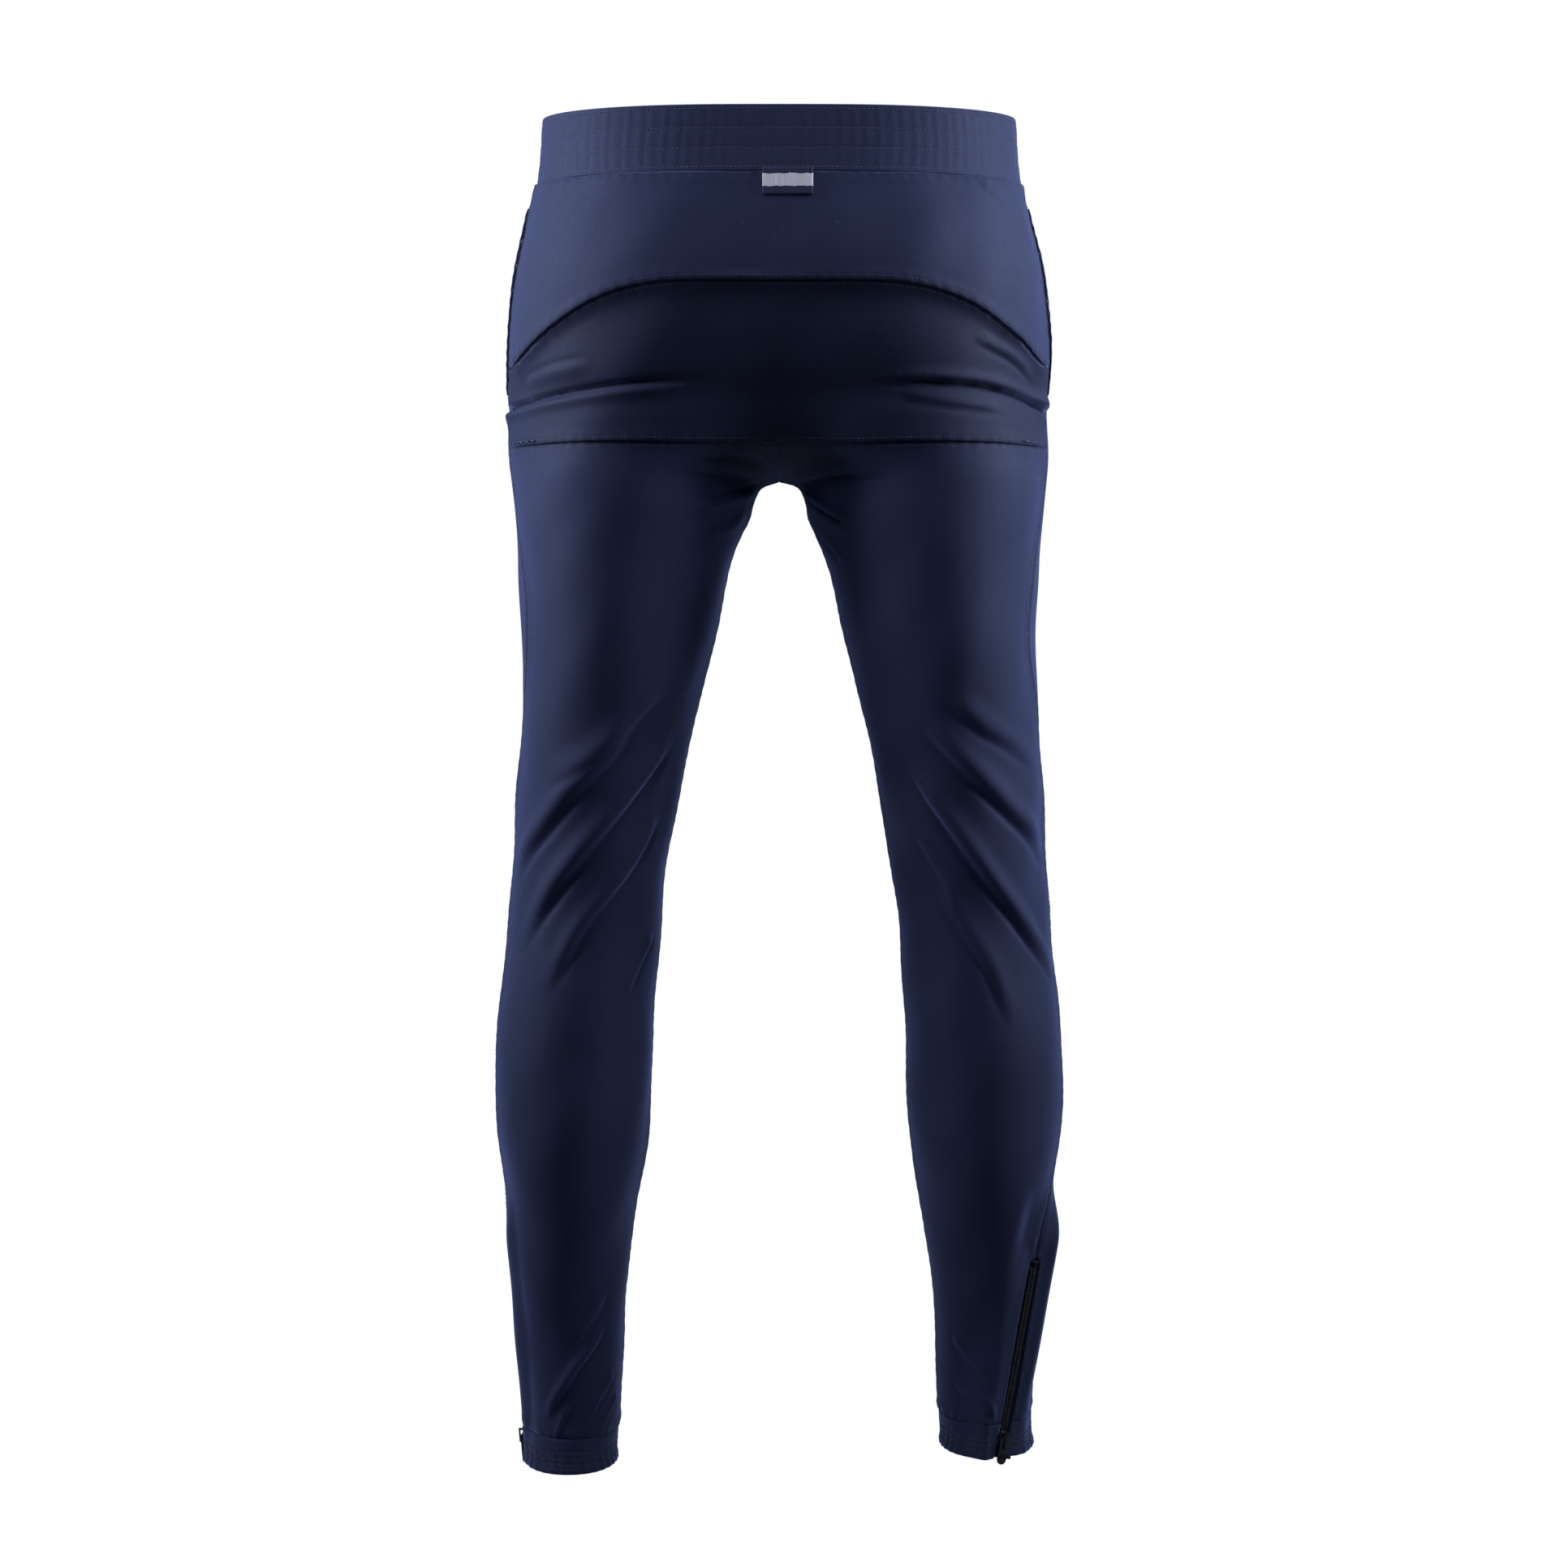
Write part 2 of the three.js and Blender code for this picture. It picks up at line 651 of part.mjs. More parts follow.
function zipTape(hand) {
  const across = sorted(hand, zip.gap / 2, zip.gap / 2 + zip.tape);
  return block([seam, zip.length + 2 * stop.fromEnd], across, [tapeUnder, tapeTop]);
}

const zipCoil = (hand) => {
  const from = stop.fromEnd + stop.length + seam;
  return block([from, zip.length - from], sorted(hand, zip.gap / 2, coilOut), [coilFoot, coilTop]);
};

const zipStop = () =>
  block([-stop.length / 2, stop.length / 2], [-coilOut, coilOut], [coilFoot, coilFoot + stop.height]);

/** A slider with its plates above the coils and below the tapes, joined by a neck that runs between them. */
function zipSlider() {
  const half = slider.length / 2;
  const wide = slider.width / 2;
  const plate = block([-half, half], [-wide, wide], [plateFoot, plateTop]);
  const wing = (hand) =>
    block([-half, half], sorted(hand, wide - slider.wall, wide), [tapeTop + seam, plateFoot + weld]);
  const under = tapeUnder - seam;
  const neck = block(
    [slider.neckFrom, slider.neckTo],
    [-slider.neck / 2, slider.neck / 2],
    [under - weld, plateFoot + weld],
  );
  const foot = block([-half, half], [-wide, wide], [under - slider.plate, under]);
  const span = bridge.length / 2;
  const beamFoot = plateTop + bridge.window;
  const beam = block([-span, span], [-bridge.width / 2, bridge.width / 2], [beamFoot, beamFoot + bridge.beam]);
  const post = (from, to) =>
    block([from, to], [-bridge.width / 2, bridge.width / 2], [plateTop - weld, beamFoot + weld]);
  const posts = [post(-span, bridge.post - span), post(span - bridge.post, span)];
  return [wing(-1), wing(1), neck, foot, beam, ...posts].reduce((solid, piece) => solid.add(piece), plate);
}

/** The pull: a flat tongue whose window leaves a bar under the slider's bridge. */
function zipPull() {
  const wide = pull.width / 2;
  const end = -pull.length + wide;
  const outline = new THREE.Shape();
  outline.moveTo(pull.bar / 2, -wide);
  outline.lineTo(pull.bar / 2, wide);
  outline.lineTo(end, wide);
  outline.absarc(end, 0, wide, Math.PI / 2, (3 * Math.PI) / 2);
  const hole = new THREE.Path();
  hole.moveTo(-pull.bar / 2, -pull.holeWidth / 2);
  hole.lineTo(-pull.bar / 2 - pull.holeLength, -pull.holeWidth / 2);
  hole.lineTo(-pull.bar / 2 - pull.holeLength, pull.holeWidth / 2);
  hole.lineTo(-pull.bar / 2, pull.holeWidth / 2);
  outline.holes.push(hole);
  const geometry = new THREE.ExtrudeGeometry(outline, {
    depth: pull.thickness,
    bevelEnabled: false,
    curveSegments: 8,
  });
  geometry.translate(0, 0, -pull.thickness / 2);
  return solidOf(geometry);
}

/** The strip behind a zip, raised at both edges to meet the tapes and clear of the slider between them. */
function zipFacing() {
  const wide = zip.gap / 2 + zip.tape;
  const edge = tapeUnder - seam;
  const floor = edge - slider.plate - facing.drop;
  const run = [seam, zip.length + 2 * stop.fromEnd];
  const base = block(run, [-wide, wide], [floor - facing.thickness, floor]);
  const flange = (hand) => block(run, sorted(hand, wide - facing.wall, wide), [floor - weld, edge]);
  return base.add(flange(-1)).add(flange(1));
}

function sorted(hand, from, to) {
  return hand < 0 ? [-to, -from] : [from, to];
}

// ---------------------------------------------------------------- finishes and assembly

const finish = (color, roughness, metalness = 0) => () =>
  new THREE.MeshStandardMaterial({ color, roughness, metalness });
const trouserCloth = finish(0x22283f, 0.72);
const seatCloth = finish(0x1f2439, 0.76);
const elasticCloth = finish(0x1b1f30, 0.85);
const liningCloth = finish(0x262b40, 0.9);
const tabTape = finish(0xb9bcc6, 0.8);
const zipTapeCloth = finish(0x15192a, 0.85);
const coilPlastic = finish(0x12151f, 0.45);
const paintedMetal = finish(0x1a1e2c, 0.4, 0.6);
const rubberPull = finish(0x171b29, 0.6);

function named(name, solid, material) {
  const mesh = new THREE.Mesh(geometryOf(solid), material());
  mesh.name = name;
  return mesh;
}

/** A group that stands in a frame given by three directions and a place. */
function groupIn(along, across, outward, place) {
  const group = new THREE.Group();
  group.quaternion.setFromRotationMatrix(new THREE.Matrix4().makeBasis(along, across, outward));
  group.position.copy(place);
  return group;
}

function ankleZip(sideName) {
  const { foot, along, across, outward } = zips[sides[sideName]];
  const group = groupIn(along, across, outward, foot);
  const frontHand = Math.sign(across.y) || 1;
  group.add(named(`ankle_zip_tape_front_${sideName}`, zipTape(frontHand), zipTapeCloth));
  group.add(named(`ankle_zip_tape_back_${sideName}`, zipTape(-frontHand), zipTapeCloth));
  group.add(named(`ankle_zip_coil_front_${sideName}`, zipCoil(frontHand), coilPlastic));
  group.add(named(`ankle_zip_coil_back_${sideName}`, zipCoil(-frontHand), coilPlastic));
  group.add(named(`ankle_zip_facing_${sideName}`, zipFacing(), zipTapeCloth));
  const bottomStop = named(`ankle_zip_bottom_stop_${sideName}`, zipStop(), paintedMetal);
  bottomStop.position.x = stop.fromEnd + stop.length / 2;
  const topStop = named(`ankle_zip_top_stop_${sideName}`, zipStop(), paintedMetal);
  topStop.position.x = zip.length - stop.fromEnd - stop.length / 2;
  const sliderMesh = named(`ankle_zip_slider_${sideName}`, zipSlider(), paintedMetal);
  sliderMesh.position.x = slider.park;
  const pullMesh = named(`ankle_zip_pull_${sideName}`, zipPull(), rubberPull);
  pullMesh.position.set(slider.park, 0, barLevel);
  group.add(bottomStop, topStop, sliderMesh, pullMesh);
  return group;
}

function tabGroup() {
  const top = skin(1, 0, -waistband.height - seam, 0);
  const low = skin(1, 0, -waistband.height - tab.height, 0);
  const down = low.clone().sub(top).normalize();
  const outward = new THREE.Vector3(1, 0, 0).cross(down).negate();
  const group = groupIn(down, outward, down.clone().cross(outward), top);
  group.position.addScaledVector(outward, tab.lift);
  group.position.x += tab.shift;
  group.add(named('hanging_tab', hangingTab(), tabTape));
  return group;
}

function eyeletMesh(sideName) {
  const { point, normal } = eyeletFrame(sides[sideName]);
  const mesh = named(`drawcord_eyelet_${sideName}`, drawcordEyelet(), paintedMetal);
  mesh.quaternion.setFromUnitVectors(THREE.Object3D.DEFAULT_UP, normal);
  mesh.position.copy(point);
  return mesh;
}

const trousers = new THREE.Group();
trousers.add(named('waistband_outer', waistbandOuter(), trouserCloth));
trousers.add(named('waistband_elastic', waistbandElastic(), elasticCloth));
trousers.add(named('waistband_lining', waistbandLining(), liningCloth));
trousers.add(tabGroup());
trousers.add(named('back_yoke', backPiece(bandLevel, archLevel), trouserCloth));
trousers.add(named('seat_panel', backPiece(archLevel, seatLevel), seatCloth));
for (const [sideName, side] of Object.entries(sides)) {
  trousers.add(named(`back_leg_${sideName}`, backLeg(side), trouserCloth));
  trousers.add(named(`side_panel_${sideName}`, sidePanelOf(side), trouserCloth));
  trousers.add(named(`front_panel_${sideName}`, frontPanel(side), trouserCloth));
  trousers.add(named(`hem_band_${sideName}`, hemBand(side), trouserCloth));
  trousers.add(named(`pocket_bag_${sideName}`, pocketBag(side), liningCloth));
  trousers.add(named(`pocket_welt_${sideName}`, pocketWelt(side), trouserCloth));
  trousers.add(eyeletMesh(sideName));
  trousers.add(ankleZip(sideName));
}

export default trousers;
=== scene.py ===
"""Slim training trousers, dressed over their fixed frame.

The garment hangs from its waist with the legs a little apart. Every piece of cloth is a dense patch of one smooth
skin: a place on the skin is given by the leg side, the share of the way round that side (0 at the back centre or
inseam, 0.5 at the outer side, 1 at the front centre or inseam) and the height. Folds, puckers and rolled seams are
a relief over that skin, so neighbouring pieces meet along their seams. Lengths are metres. +X is the wearer's
right, +Y the front and +Z up.
"""

from __future__ import annotations

import logging
import math
from dataclasses import dataclass, field
from enum import Enum
from typing import Callable, NamedTuple

import bpy
import numpy as np
from mathutils import Matrix, Vector

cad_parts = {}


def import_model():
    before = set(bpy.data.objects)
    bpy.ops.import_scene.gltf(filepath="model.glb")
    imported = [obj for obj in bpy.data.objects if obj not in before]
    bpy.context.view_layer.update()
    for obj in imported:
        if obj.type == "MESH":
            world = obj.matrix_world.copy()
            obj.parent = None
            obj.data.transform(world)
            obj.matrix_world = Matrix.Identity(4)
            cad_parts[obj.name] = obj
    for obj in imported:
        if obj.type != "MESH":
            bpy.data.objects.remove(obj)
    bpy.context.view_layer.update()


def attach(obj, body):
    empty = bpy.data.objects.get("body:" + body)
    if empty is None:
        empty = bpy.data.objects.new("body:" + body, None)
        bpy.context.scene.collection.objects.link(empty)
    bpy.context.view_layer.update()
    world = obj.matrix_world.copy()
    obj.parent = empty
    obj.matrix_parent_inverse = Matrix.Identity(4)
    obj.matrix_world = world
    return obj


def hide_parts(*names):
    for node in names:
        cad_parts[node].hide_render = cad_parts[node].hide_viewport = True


log = logging.getLogger("trousers")

Array = np.ndarray
Edge = Callable[[Array], Array]

MM = 0.001
FAR = 1.0
NARROWEST = 0.0101


class Side(Enum):
    """The wearer's legs, with the sign of X on each."""

    LEFT = -1
    RIGHT = 1

    @property
    def label(self) -> str:
        """The word that ends a piece's name."""
        return self.name.lower()


class Body(Enum):
    """The bodies of the frame that pieces ride on."""

    GARMENT = "garment"
    SLIDER = "zip_slider_{side}"
    PULL = "zip_pull_{side}"

    def of(self, side: Side | None = None) -> str:
        """The body's name on one side."""
        return self.value.format(side=side.label if side else "")


class Slot(Enum):
    """The record's material slots."""

    TROUSER = "trouser_cloth"
    SEAT = "seat_cloth"
    HEM = "hem_cloth"
    ELASTIC = "elastic_webbing"
    LINING = "lining_cloth"
    TAB = "tab_tape"
    ZIP_TAPE = "zip_tape"
    ZIP_COIL = "zip_coil"
    METAL = "painted_metal"
    RUBBER = "pull_rubber"


class Face(Enum):
    """The face of the trousers that a fold is laid out on."""

    BACK = 0
    FRONT = 1


# ---- the skin


def smoothstep(value: Array, low: float, high: float) -> Array:
    """A smooth step from 0 at low to 1 at high."""
    share = np.clip((value - low) / (high - low), 0.0, 1.0)
    return share * share * (3.0 - 2.0 * share)


def unit(vectors: Array) -> Array:
    """The vectors at length one."""
    return vectors / np.maximum(np.linalg.norm(vectors, axis=-1, keepdims=True), 1e-12)


class SmoothCurve:
    """A smooth function through (height, value) stations, listed from the top down."""

    def __init__(self, heights: list[float], values: list[float]) -> None:
        """Keeps the stations and works out a slope at each.

        Args:
            heights: The stations' heights, from the top down.
            values: The value at each station.
        """
        self.heights = np.array(heights)
        self.values = np.array(values)
        before = np.maximum(np.arange(len(heights)) - 1, 0)
        after = np.minimum(np.arange(len(heights)) + 1, len(heights) - 1)
        self.slopes = (self.values[after] - self.values[before]) / (self.heights[after] - self.heights[before])

    def __call__(self, height: Array) -> Array:
        """The value at each height.

        Args:
            height: The heights.

        Returns:
            The values.
        """
        i = np.searchsorted(-self.heights[1:-1], -np.asarray(height, float), side="left")
        span = self.heights[i + 1] - self.heights[i]
        t = np.clip((height - self.heights[i]) / span, -0.2, 1.2)
        rest = 1.0 - t
        return (
            self.values[i] * (1 + 2 * t) * rest * rest
            + self.slopes[i] * span * t * rest * rest
            + self.values[i + 1] * t * t * (3 - 2 * t)
            - self.slopes[i + 1] * span * t * t * rest
        )


class BodyStation(NamedTuple):
    """A level section above the crotch: share of the rise, outer side, depth at the centre, back and front."""

    share: float
    outer: float
    centre: float
    back: float
    front: float


class LegStation(NamedTuple):
    """A level section of a leg: share of the leg's length, outer side, inner side, back and front."""

    share: float
    outer: float
    inner: float
    back: float
    front: float


class Oval(NamedTuple):
    """The oval of level sections, in the coordinate that rounds the valley between the legs."""

    middle: Array
    half_width: Array
    half_depth: Array
    middle_depth: Array
    turn: Array


class ZipLine(NamedTuple):
    """The straight line of an ankle zip: its lower end and its directions."""

    foot: Array
    along: Array
    across: Array
    outward: Array
    top_height: float


@dataclass
class Skin:
    """The smooth outer surface that the cloth is laid on, with the sizes of the frame underneath."""

    rise: float = 0.268
    leg_length: float = 0.727
    right_hem_lift: float = 0.012
    hem_drop: float = 0.007
    crotch_round: float = 0.056
    zip_length: float = 0.150
    zip_tape: float = 0.012
    table_top: float = 0.004
    table_step: float = 0.0005
    table_rows: int = 2052
    steps: int = 160
    pelvis: tuple[BodyStation, ...] = (
        BodyStation(0.0, 0.176, 1.0, -0.100, 0.096),
        BodyStation(0.16, 0.179, 1.0, -0.108, 0.099),
        BodyStation(0.3, 0.1875, 0.995, -0.118, 0.104),
        BodyStation(0.45, 0.196, 0.985, -0.124, 0.107),
        BodyStation(0.6, 0.200, 0.97, -0.120, 0.108),
        BodyStation(0.76, 0.200, 0.93, -0.109, 0.107),
        BodyStation(0.9, 0.2005, 0.8, -0.100, 0.105),
        BodyStation(0.955, 0.200, 0.55, -0.098, 0.104),
        BodyStation(1.0, 0.199, 0.0, -0.097, 0.103),
    )
    leg: tuple[LegStation, ...] = (
        LegStation(0.04, 0.197, 0.0235, -0.096, 0.102),
        LegStation(0.085, 0.1935, 0.0356, -0.094, 0.100),
        LegStation(0.168, 0.191, 0.0495, -0.089, 0.096),
        LegStation(0.29, 0.194, 0.0705, -0.077, 0.088),
        LegStation(0.44, 0.2005, 0.088, -0.067, 0.078),
        LegStation(0.59, 0.210, 0.0945, -0.076, 0.062),
        LegStation(0.665, 0.2085, 0.0965, -0.076, 0.053),
        LegStation(0.74, 0.202, 0.105, -0.068, 0.047),
        LegStation(0.82, 0.1965, 0.113, -0.055, 0.043),
        LegStation(0.89, 0.1915, 0.1155, -0.047, 0.042),
        LegStation(0.95, 0.1875, 0.1185, -0.046, 0.043),
        LegStation(1.0, 0.1885, 0.121, -0.049, 0.046),
        LegStation(1.03, 0.189, 0.1215, -0.050, 0.047),
    )
    zip_turns: dict[Side, tuple[float, float]] = field(
        default_factory=lambda: {Side.LEFT: (4.0, 15.0), Side.RIGHT: (-37.0, -79.0)}
    )

    def __post_init__(self) -> None:
        """Builds the curves through the stations, the tables of running lengths and the lines of the zips."""
        w = self.crotch_round
        heights = [-self.rise * s.share for s in self.pelvis]
        heights += [-self.rise - self.leg_length * s.share for s in self.leg]
        stations = [*self.pelvis, *self.leg]
        inner = [self._inner_end(s) for s in self.pelvis] + [math.hypot(s.inner, w) for s in self.leg]
        self._outer = SmoothCurve(heights, [s.outer for s in stations])
        self._inner = SmoothCurve(heights, inner)
        self._back = SmoothCurve(heights, [s.back for s in stations])
        self._front = SmoothCurve(heights, [s.front for s in stations])
        self.levels = self.table_top - self.table_step * np.arange(self.table_rows)
        oval = self.oval(self.levels)
        way = np.linspace(-1.0, 1.0, self.steps + 1)
        x, y = self._on_oval(Oval(*(part[:, None] for part in oval)), oval.turn[:, None] * way)
        runs = np.cumsum(np.hypot(np.diff(x, axis=1), np.diff(y, axis=1)), axis=1)
        runs = np.concatenate([np.zeros((len(runs), 1)), runs], axis=1)
        self._total = runs[:, -1]
        self._share_at_way = runs / runs[:, -1:]
        shares = np.linspace(0.0, 1.0, self.steps + 1)
        self._way_at_share = np.array([np.interp(shares, row, way) for row in self._share_at_way])
        self.zips = {side: self._zip_line(side) for side in Side}

    def _inner_end(self, station: BodyStation) -> float:
        """The inner end of a section above the crotch, in the rounded coordinate.

        Args:
            station: The level section.

        Returns:
            The inner end.
        """
        cosine = math.sqrt(1 - station.centre * station.centre)
        half_width = (math.hypot(station.outer, self.crotch_round) - self.crotch_round) / (1 + cosine)
        return self.crotch_round - half_width * (1 - cosine)

    def oval(self, height: Array) -> Oval:
        """The oval of the level sections at some heights.

        Args:
            height: The height.

        Returns:
            The oval at each height.
        """
        height = np.asarray(height, float)
        outer = np.hypot(self._outer(height), self.crotch_round)
        inner = self._inner(height)
        front, back = self._front(height), self._back(height)
        middle, half_width = (outer + inner) / 2, (outer - inner) / 2
        cosine = np.clip((self.crotch_round - middle) / half_width, -1.0, 1.0)
        turn = np.where(inner < self.crotch_round, np.arccos(cosine), math.pi)
        return Oval(middle, half_width, (front - back) / 2, (front + back) / 2, turn)

    def _on_oval(self, oval: Oval, angle: Array) -> tuple[Array, Array]:
        """The level coordinates of points at angles round an oval.

        Args:
            oval: The oval.
            angle: The angle, 0 at the outer side.

        Returns:
            X without its sign, and Y.
        """
        rounded = oval.middle + oval.half_width * np.cos(angle)
        x = np.sqrt(np.maximum(rounded * rounded - self.crotch_round**2, 0.0))
        return x, oval.middle_depth + oval.half_depth * np.sin(angle)

    def _lookup(self, table: Array, place: Array, height: Array) -> Array:
        """A table's value between its rows of heights and its columns from 0 to 1.

        Args:
            table: The table, by level and by even steps.
            place: The column, from 0 to 1.
            height: The height.

        Returns:
            The values.
        """
        row = np.clip((self.table_top - height) / self.table_step, 0, len(table) - 1.001)
        column = np.clip(place, 0.0, 1.0) * (table.shape[1] - 1)
        i = row.astype(int)
        j = np.minimum(column.astype(int), table.shape[1] - 2)
        f, g = row - i, column - j
        upper = table[i, j] * (1 - g) + table[i, j + 1] * g
        lower = table[i + 1, j] * (1 - g) + table[i + 1, j + 1] * g
        return upper * (1 - f) + lower * f

    def loop_length(self, height: Array) -> Array:
        """The length round one side at a height."""
        return np.interp(-np.asarray(height, float), -self.levels, self._total)

    def share_at_angle(self, degrees: Array, height: Array) -> Array:
        """The share of the way round at which a section reaches an angle from the outer side, minus to the back.

        Args:
            degrees: The angle.
            height: The height.

        Returns:
            The share.
        """
        height = np.asarray(height, float)
        way = np.clip(np.radians(degrees) / self.oval(height).turn, -1.0, 1.0)
        return self._lookup(self._share_at_way, (way + 1) / 2, height)

    def smooth(self, side: Array, share: Array, height: Array) -> tuple[Array, Array]:
        """Points and outward normals of the skin before the zips flatten it.

        Args:
            side: -1 on the left, 1 on the right.
            share: The share of the way round.
            height: The height.

        Returns:
            The points and the normals.
        """
        side, share, height = np.broadcast_arrays(*(np.asarray(a, float) for a in (side, share, height)))
        oval = self.oval(height)
        angle = self._lookup(self._way_at_share, share, height) * oval.turn
        x, y = self._on_oval(oval, angle)
        rounded = np.hypot(x, self.crotch_round)

        def level(at: Oval) -> Array:
            """How far out the points lie on the sections' ovals, 1 on them."""
            across = (rounded - at.middle) / at.half_width
            return across**2 + ((y - at.middle_depth) / at.half_depth) ** 2

        step = 0.00005
        slope_x = 2 * (rounded - oval.middle) / oval.half_width**2 * x / rounded
        slope_y = 2 * (y - oval.middle_depth) / oval.half_depth**2
        slope_z = (level(self.oval(height + step)) - level(self.oval(height - step))) / (2 * step)
        normal = unit(np.stack([side * slope_x, slope_y, slope_z], axis=-1))
        return np.stack([side * x, y, height], axis=-1), normal

    def hem_level(self, side: Array) -> Array:
        """The mean height of a leg's lower edge."""
        return -self.rise - self.leg_length + np.where(np.asarray(side) > 0, self.right_hem_lift, 0.0)

    def hem_edge(self, side: Array, share: Array) -> Array:
        """The height of a leg's lower edge, which dips at the heel and rises over the instep."""
        return self.hem_level(side) - self.hem_drop * np.sin(2 * math.pi * np.asarray(share))

    def _zip_line(self, side: Side) -> ZipLine:
        """The line of one ankle zip, from its turns round the leg at its top and its bottom.

        Args:
            side: The leg.

        Returns:
            The line.
        """
        top, bottom = self.zip_turns[side]
        low = self.hem_edge(side.value, 0.5 + bottom / 360)
        high = low + self.zip_length
        foot, foot_normal = self.smooth(side.value, self.share_at_angle(bottom, low), low)
        head, head_normal = self.smooth(side.value, self.share_at_angle(top, high), high)
        along = unit(head - foot)
        outward = foot_normal + head_normal
        outward = unit(outward - along * np.dot(outward, along))
        top_height = foot[2] + self.zip_length * along[2]
        return ZipLine(foot, along, np.cross(outward, along), outward, float(top_height))

    def point(self, side: Array, share: Array, height: Array, depth: Array = 0.0) -> tuple[Array, Array]:
        """Points and normals of the skin, drawn flat beside the ankle zips, at a depth under it.

        Args:
            side: -1 on the left, 1 on the right.
            share: The share of the way round.
            height: The height.
            depth: How far under the skin the points lie.

        Returns:
            The points and the normals.
        """
        point, normal = self.smooth(side, share, height)
        side = np.broadcast_to(np.asarray(side), point.shape[:-1])
        reach = self.zip_tape
        for one in Side:
            line = self.zips[one]
            offset = point - line.foot
            sideways = np.abs(offset @ line.across)
            up = offset @ line.along
            flat = (
                (1 - smoothstep(sideways, reach + 2 * MM, 2.6 * reach))
                * (1 - smoothstep(up, self.zip_length + reach, self.zip_length + 5 * reach))
                * smoothstep(normal @ line.outward, 0.2, 0.55)
                * (side == one.value)
            )[..., None]
            point = point - line.outward * (offset @ line.outward)[..., None] * flat
            normal = unit(normal * (1 - flat) + line.outward * flat)
        return point - normal * np.asarray(depth)[..., None], normal


# ---- the seams


@dataclass
class SeamPlan:
    """Where the pieces of cloth are joined on the skin."""

    skin: Skin
    waist: float = -0.050
    yoke_centre: float = -0.130
    yoke_side: float = -0.186
    yoke_flat: float = 0.2
    yoke_reach: float = 0.92
    yoke_lag: float = 1.5
    seat: float = -0.245
    hem_height: float = 0.026
    back_angle: float = 9.0
    bulge: float = 17.0
    bulge_height: float = -0.375
    bulge_reach: float = 0.075
    front_angle: float = 34.0
    swing: float = 0.090

    def __post_init__(self) -> None:
        """Tabulates the side panels' edges."""
        levels = self.skin.levels
        self._back = {s: self.skin.share_at_angle(self._back_angle(s, levels), levels) for s in Side}
        self._front = {s: self.skin.share_at_angle(self._front_angle(s, levels), levels) for s in Side}

    def _zip_angle(self, side: Side, height: Array) -> Array:
        """The angle round a section at which a straight zip meets it.

        Args:
            side: The leg.
            height: The height.

        Returns:
            The angle in degrees.
        """
        line = self.skin.zips[side]
        at = line.foot + line.along * ((height - line.foot[2]) / line.along[2])[:, None]
        oval = self.skin.oval(height)
        across = (np.hypot(at[:, 0], self.skin.crotch_round) - oval.middle) / oval.half_width
        return np.degrees(np.arctan2((at[:, 1] - oval.middle_depth) / oval.half_depth, across))

    def _back_angle(self, side: Side, height: Array) -> Array:
        """The angle of the side panel's back edge: the pocket, the bulge at the thigh, then the zip.

        Args:
            side: The leg.
            height: The height.

        Returns:
            The angle in degrees, minus towards the back.
        """
        head = self.skin.zips[side].top_height
        free = -self.back_angle - self.bulge * np.exp(-(((height - self.bulge_height) / self.bulge_reach) ** 2))
        swing = 1 - smoothstep(height, head, head + self.swing)
        return free * (1 - swing) + self._zip_angle(side, np.minimum(height, head)) * swing

    def _front_angle(self, side: Side, height: Array) -> Array:
        """The angle of the side panel's front edge, which follows the back edge half as far."""
        knee = -self.skin.rise - self.skin.leg_length / 2
        return self.front_angle + (self._back_angle(side, np.minimum(height, knee)) + self.back_angle) / 2

    def _at(self, tables: dict[Side, Array], side: Array, height: Array) -> Array:
        """A tabulated edge at some heights, on whichever side each of them is.

        Args:
            tables: The edge's shares by level, for each side.
            side: -1 on the left, 1 on the right.
            height: The height.

        Returns:
            The shares.
        """
        place = -np.asarray(height, float)
        left = np.interp(place, -self.skin.levels, tables[Side.LEFT])
        right = np.interp(place, -self.skin.levels, tables[Side.RIGHT])
        return np.where(np.asarray(side) > 0, right, left)

    def back(self, side: Array, height: Array) -> Array:
        """The share at which the side panel's back edge runs."""
        return self._at(self._back, side, height)

    def front(self, side: Array, height: Array) -> Array:
        """The share at which the side panel's front edge runs."""
        return self._at(self._front, side, height)

    def yoke(self, share: Array) -> Array:
        """The height of the arch under the back yoke.

        Args:
            share: The share of the way round.

        Returns:
            The height.
        """
        way = (np.abs(share) / 0.5 - self.yoke_flat) / (self.yoke_reach - self.yoke_flat)
        lagged = np.clip(way, 0.0, 1.0) ** self.yoke_lag
        return self.yoke_centre + (self.yoke_side - self.yoke_centre) * smoothstep(lagged, 0.0, 1.0)

    def leg_end(self, side: Array, share: Array) -> Array:
        """The height of the seam above a hem band."""
        return self.skin.hem_edge(side, share) + self.hem_height


# ---- the drape


@dataclass(frozen=True)
class Fold:
    """A ridge of cloth with a sharper crease beside it, laid along a line.

    The line's points are (x, z), as they show on one face of the trousers.
    """

    line: tuple[tuple[float, float], ...]
    ridge: float
    width: float
    crease: float = 0.8
    flip: bool = False
    face: Face = Face.BACK
    centred: bool = False
    from_seam: bool = False


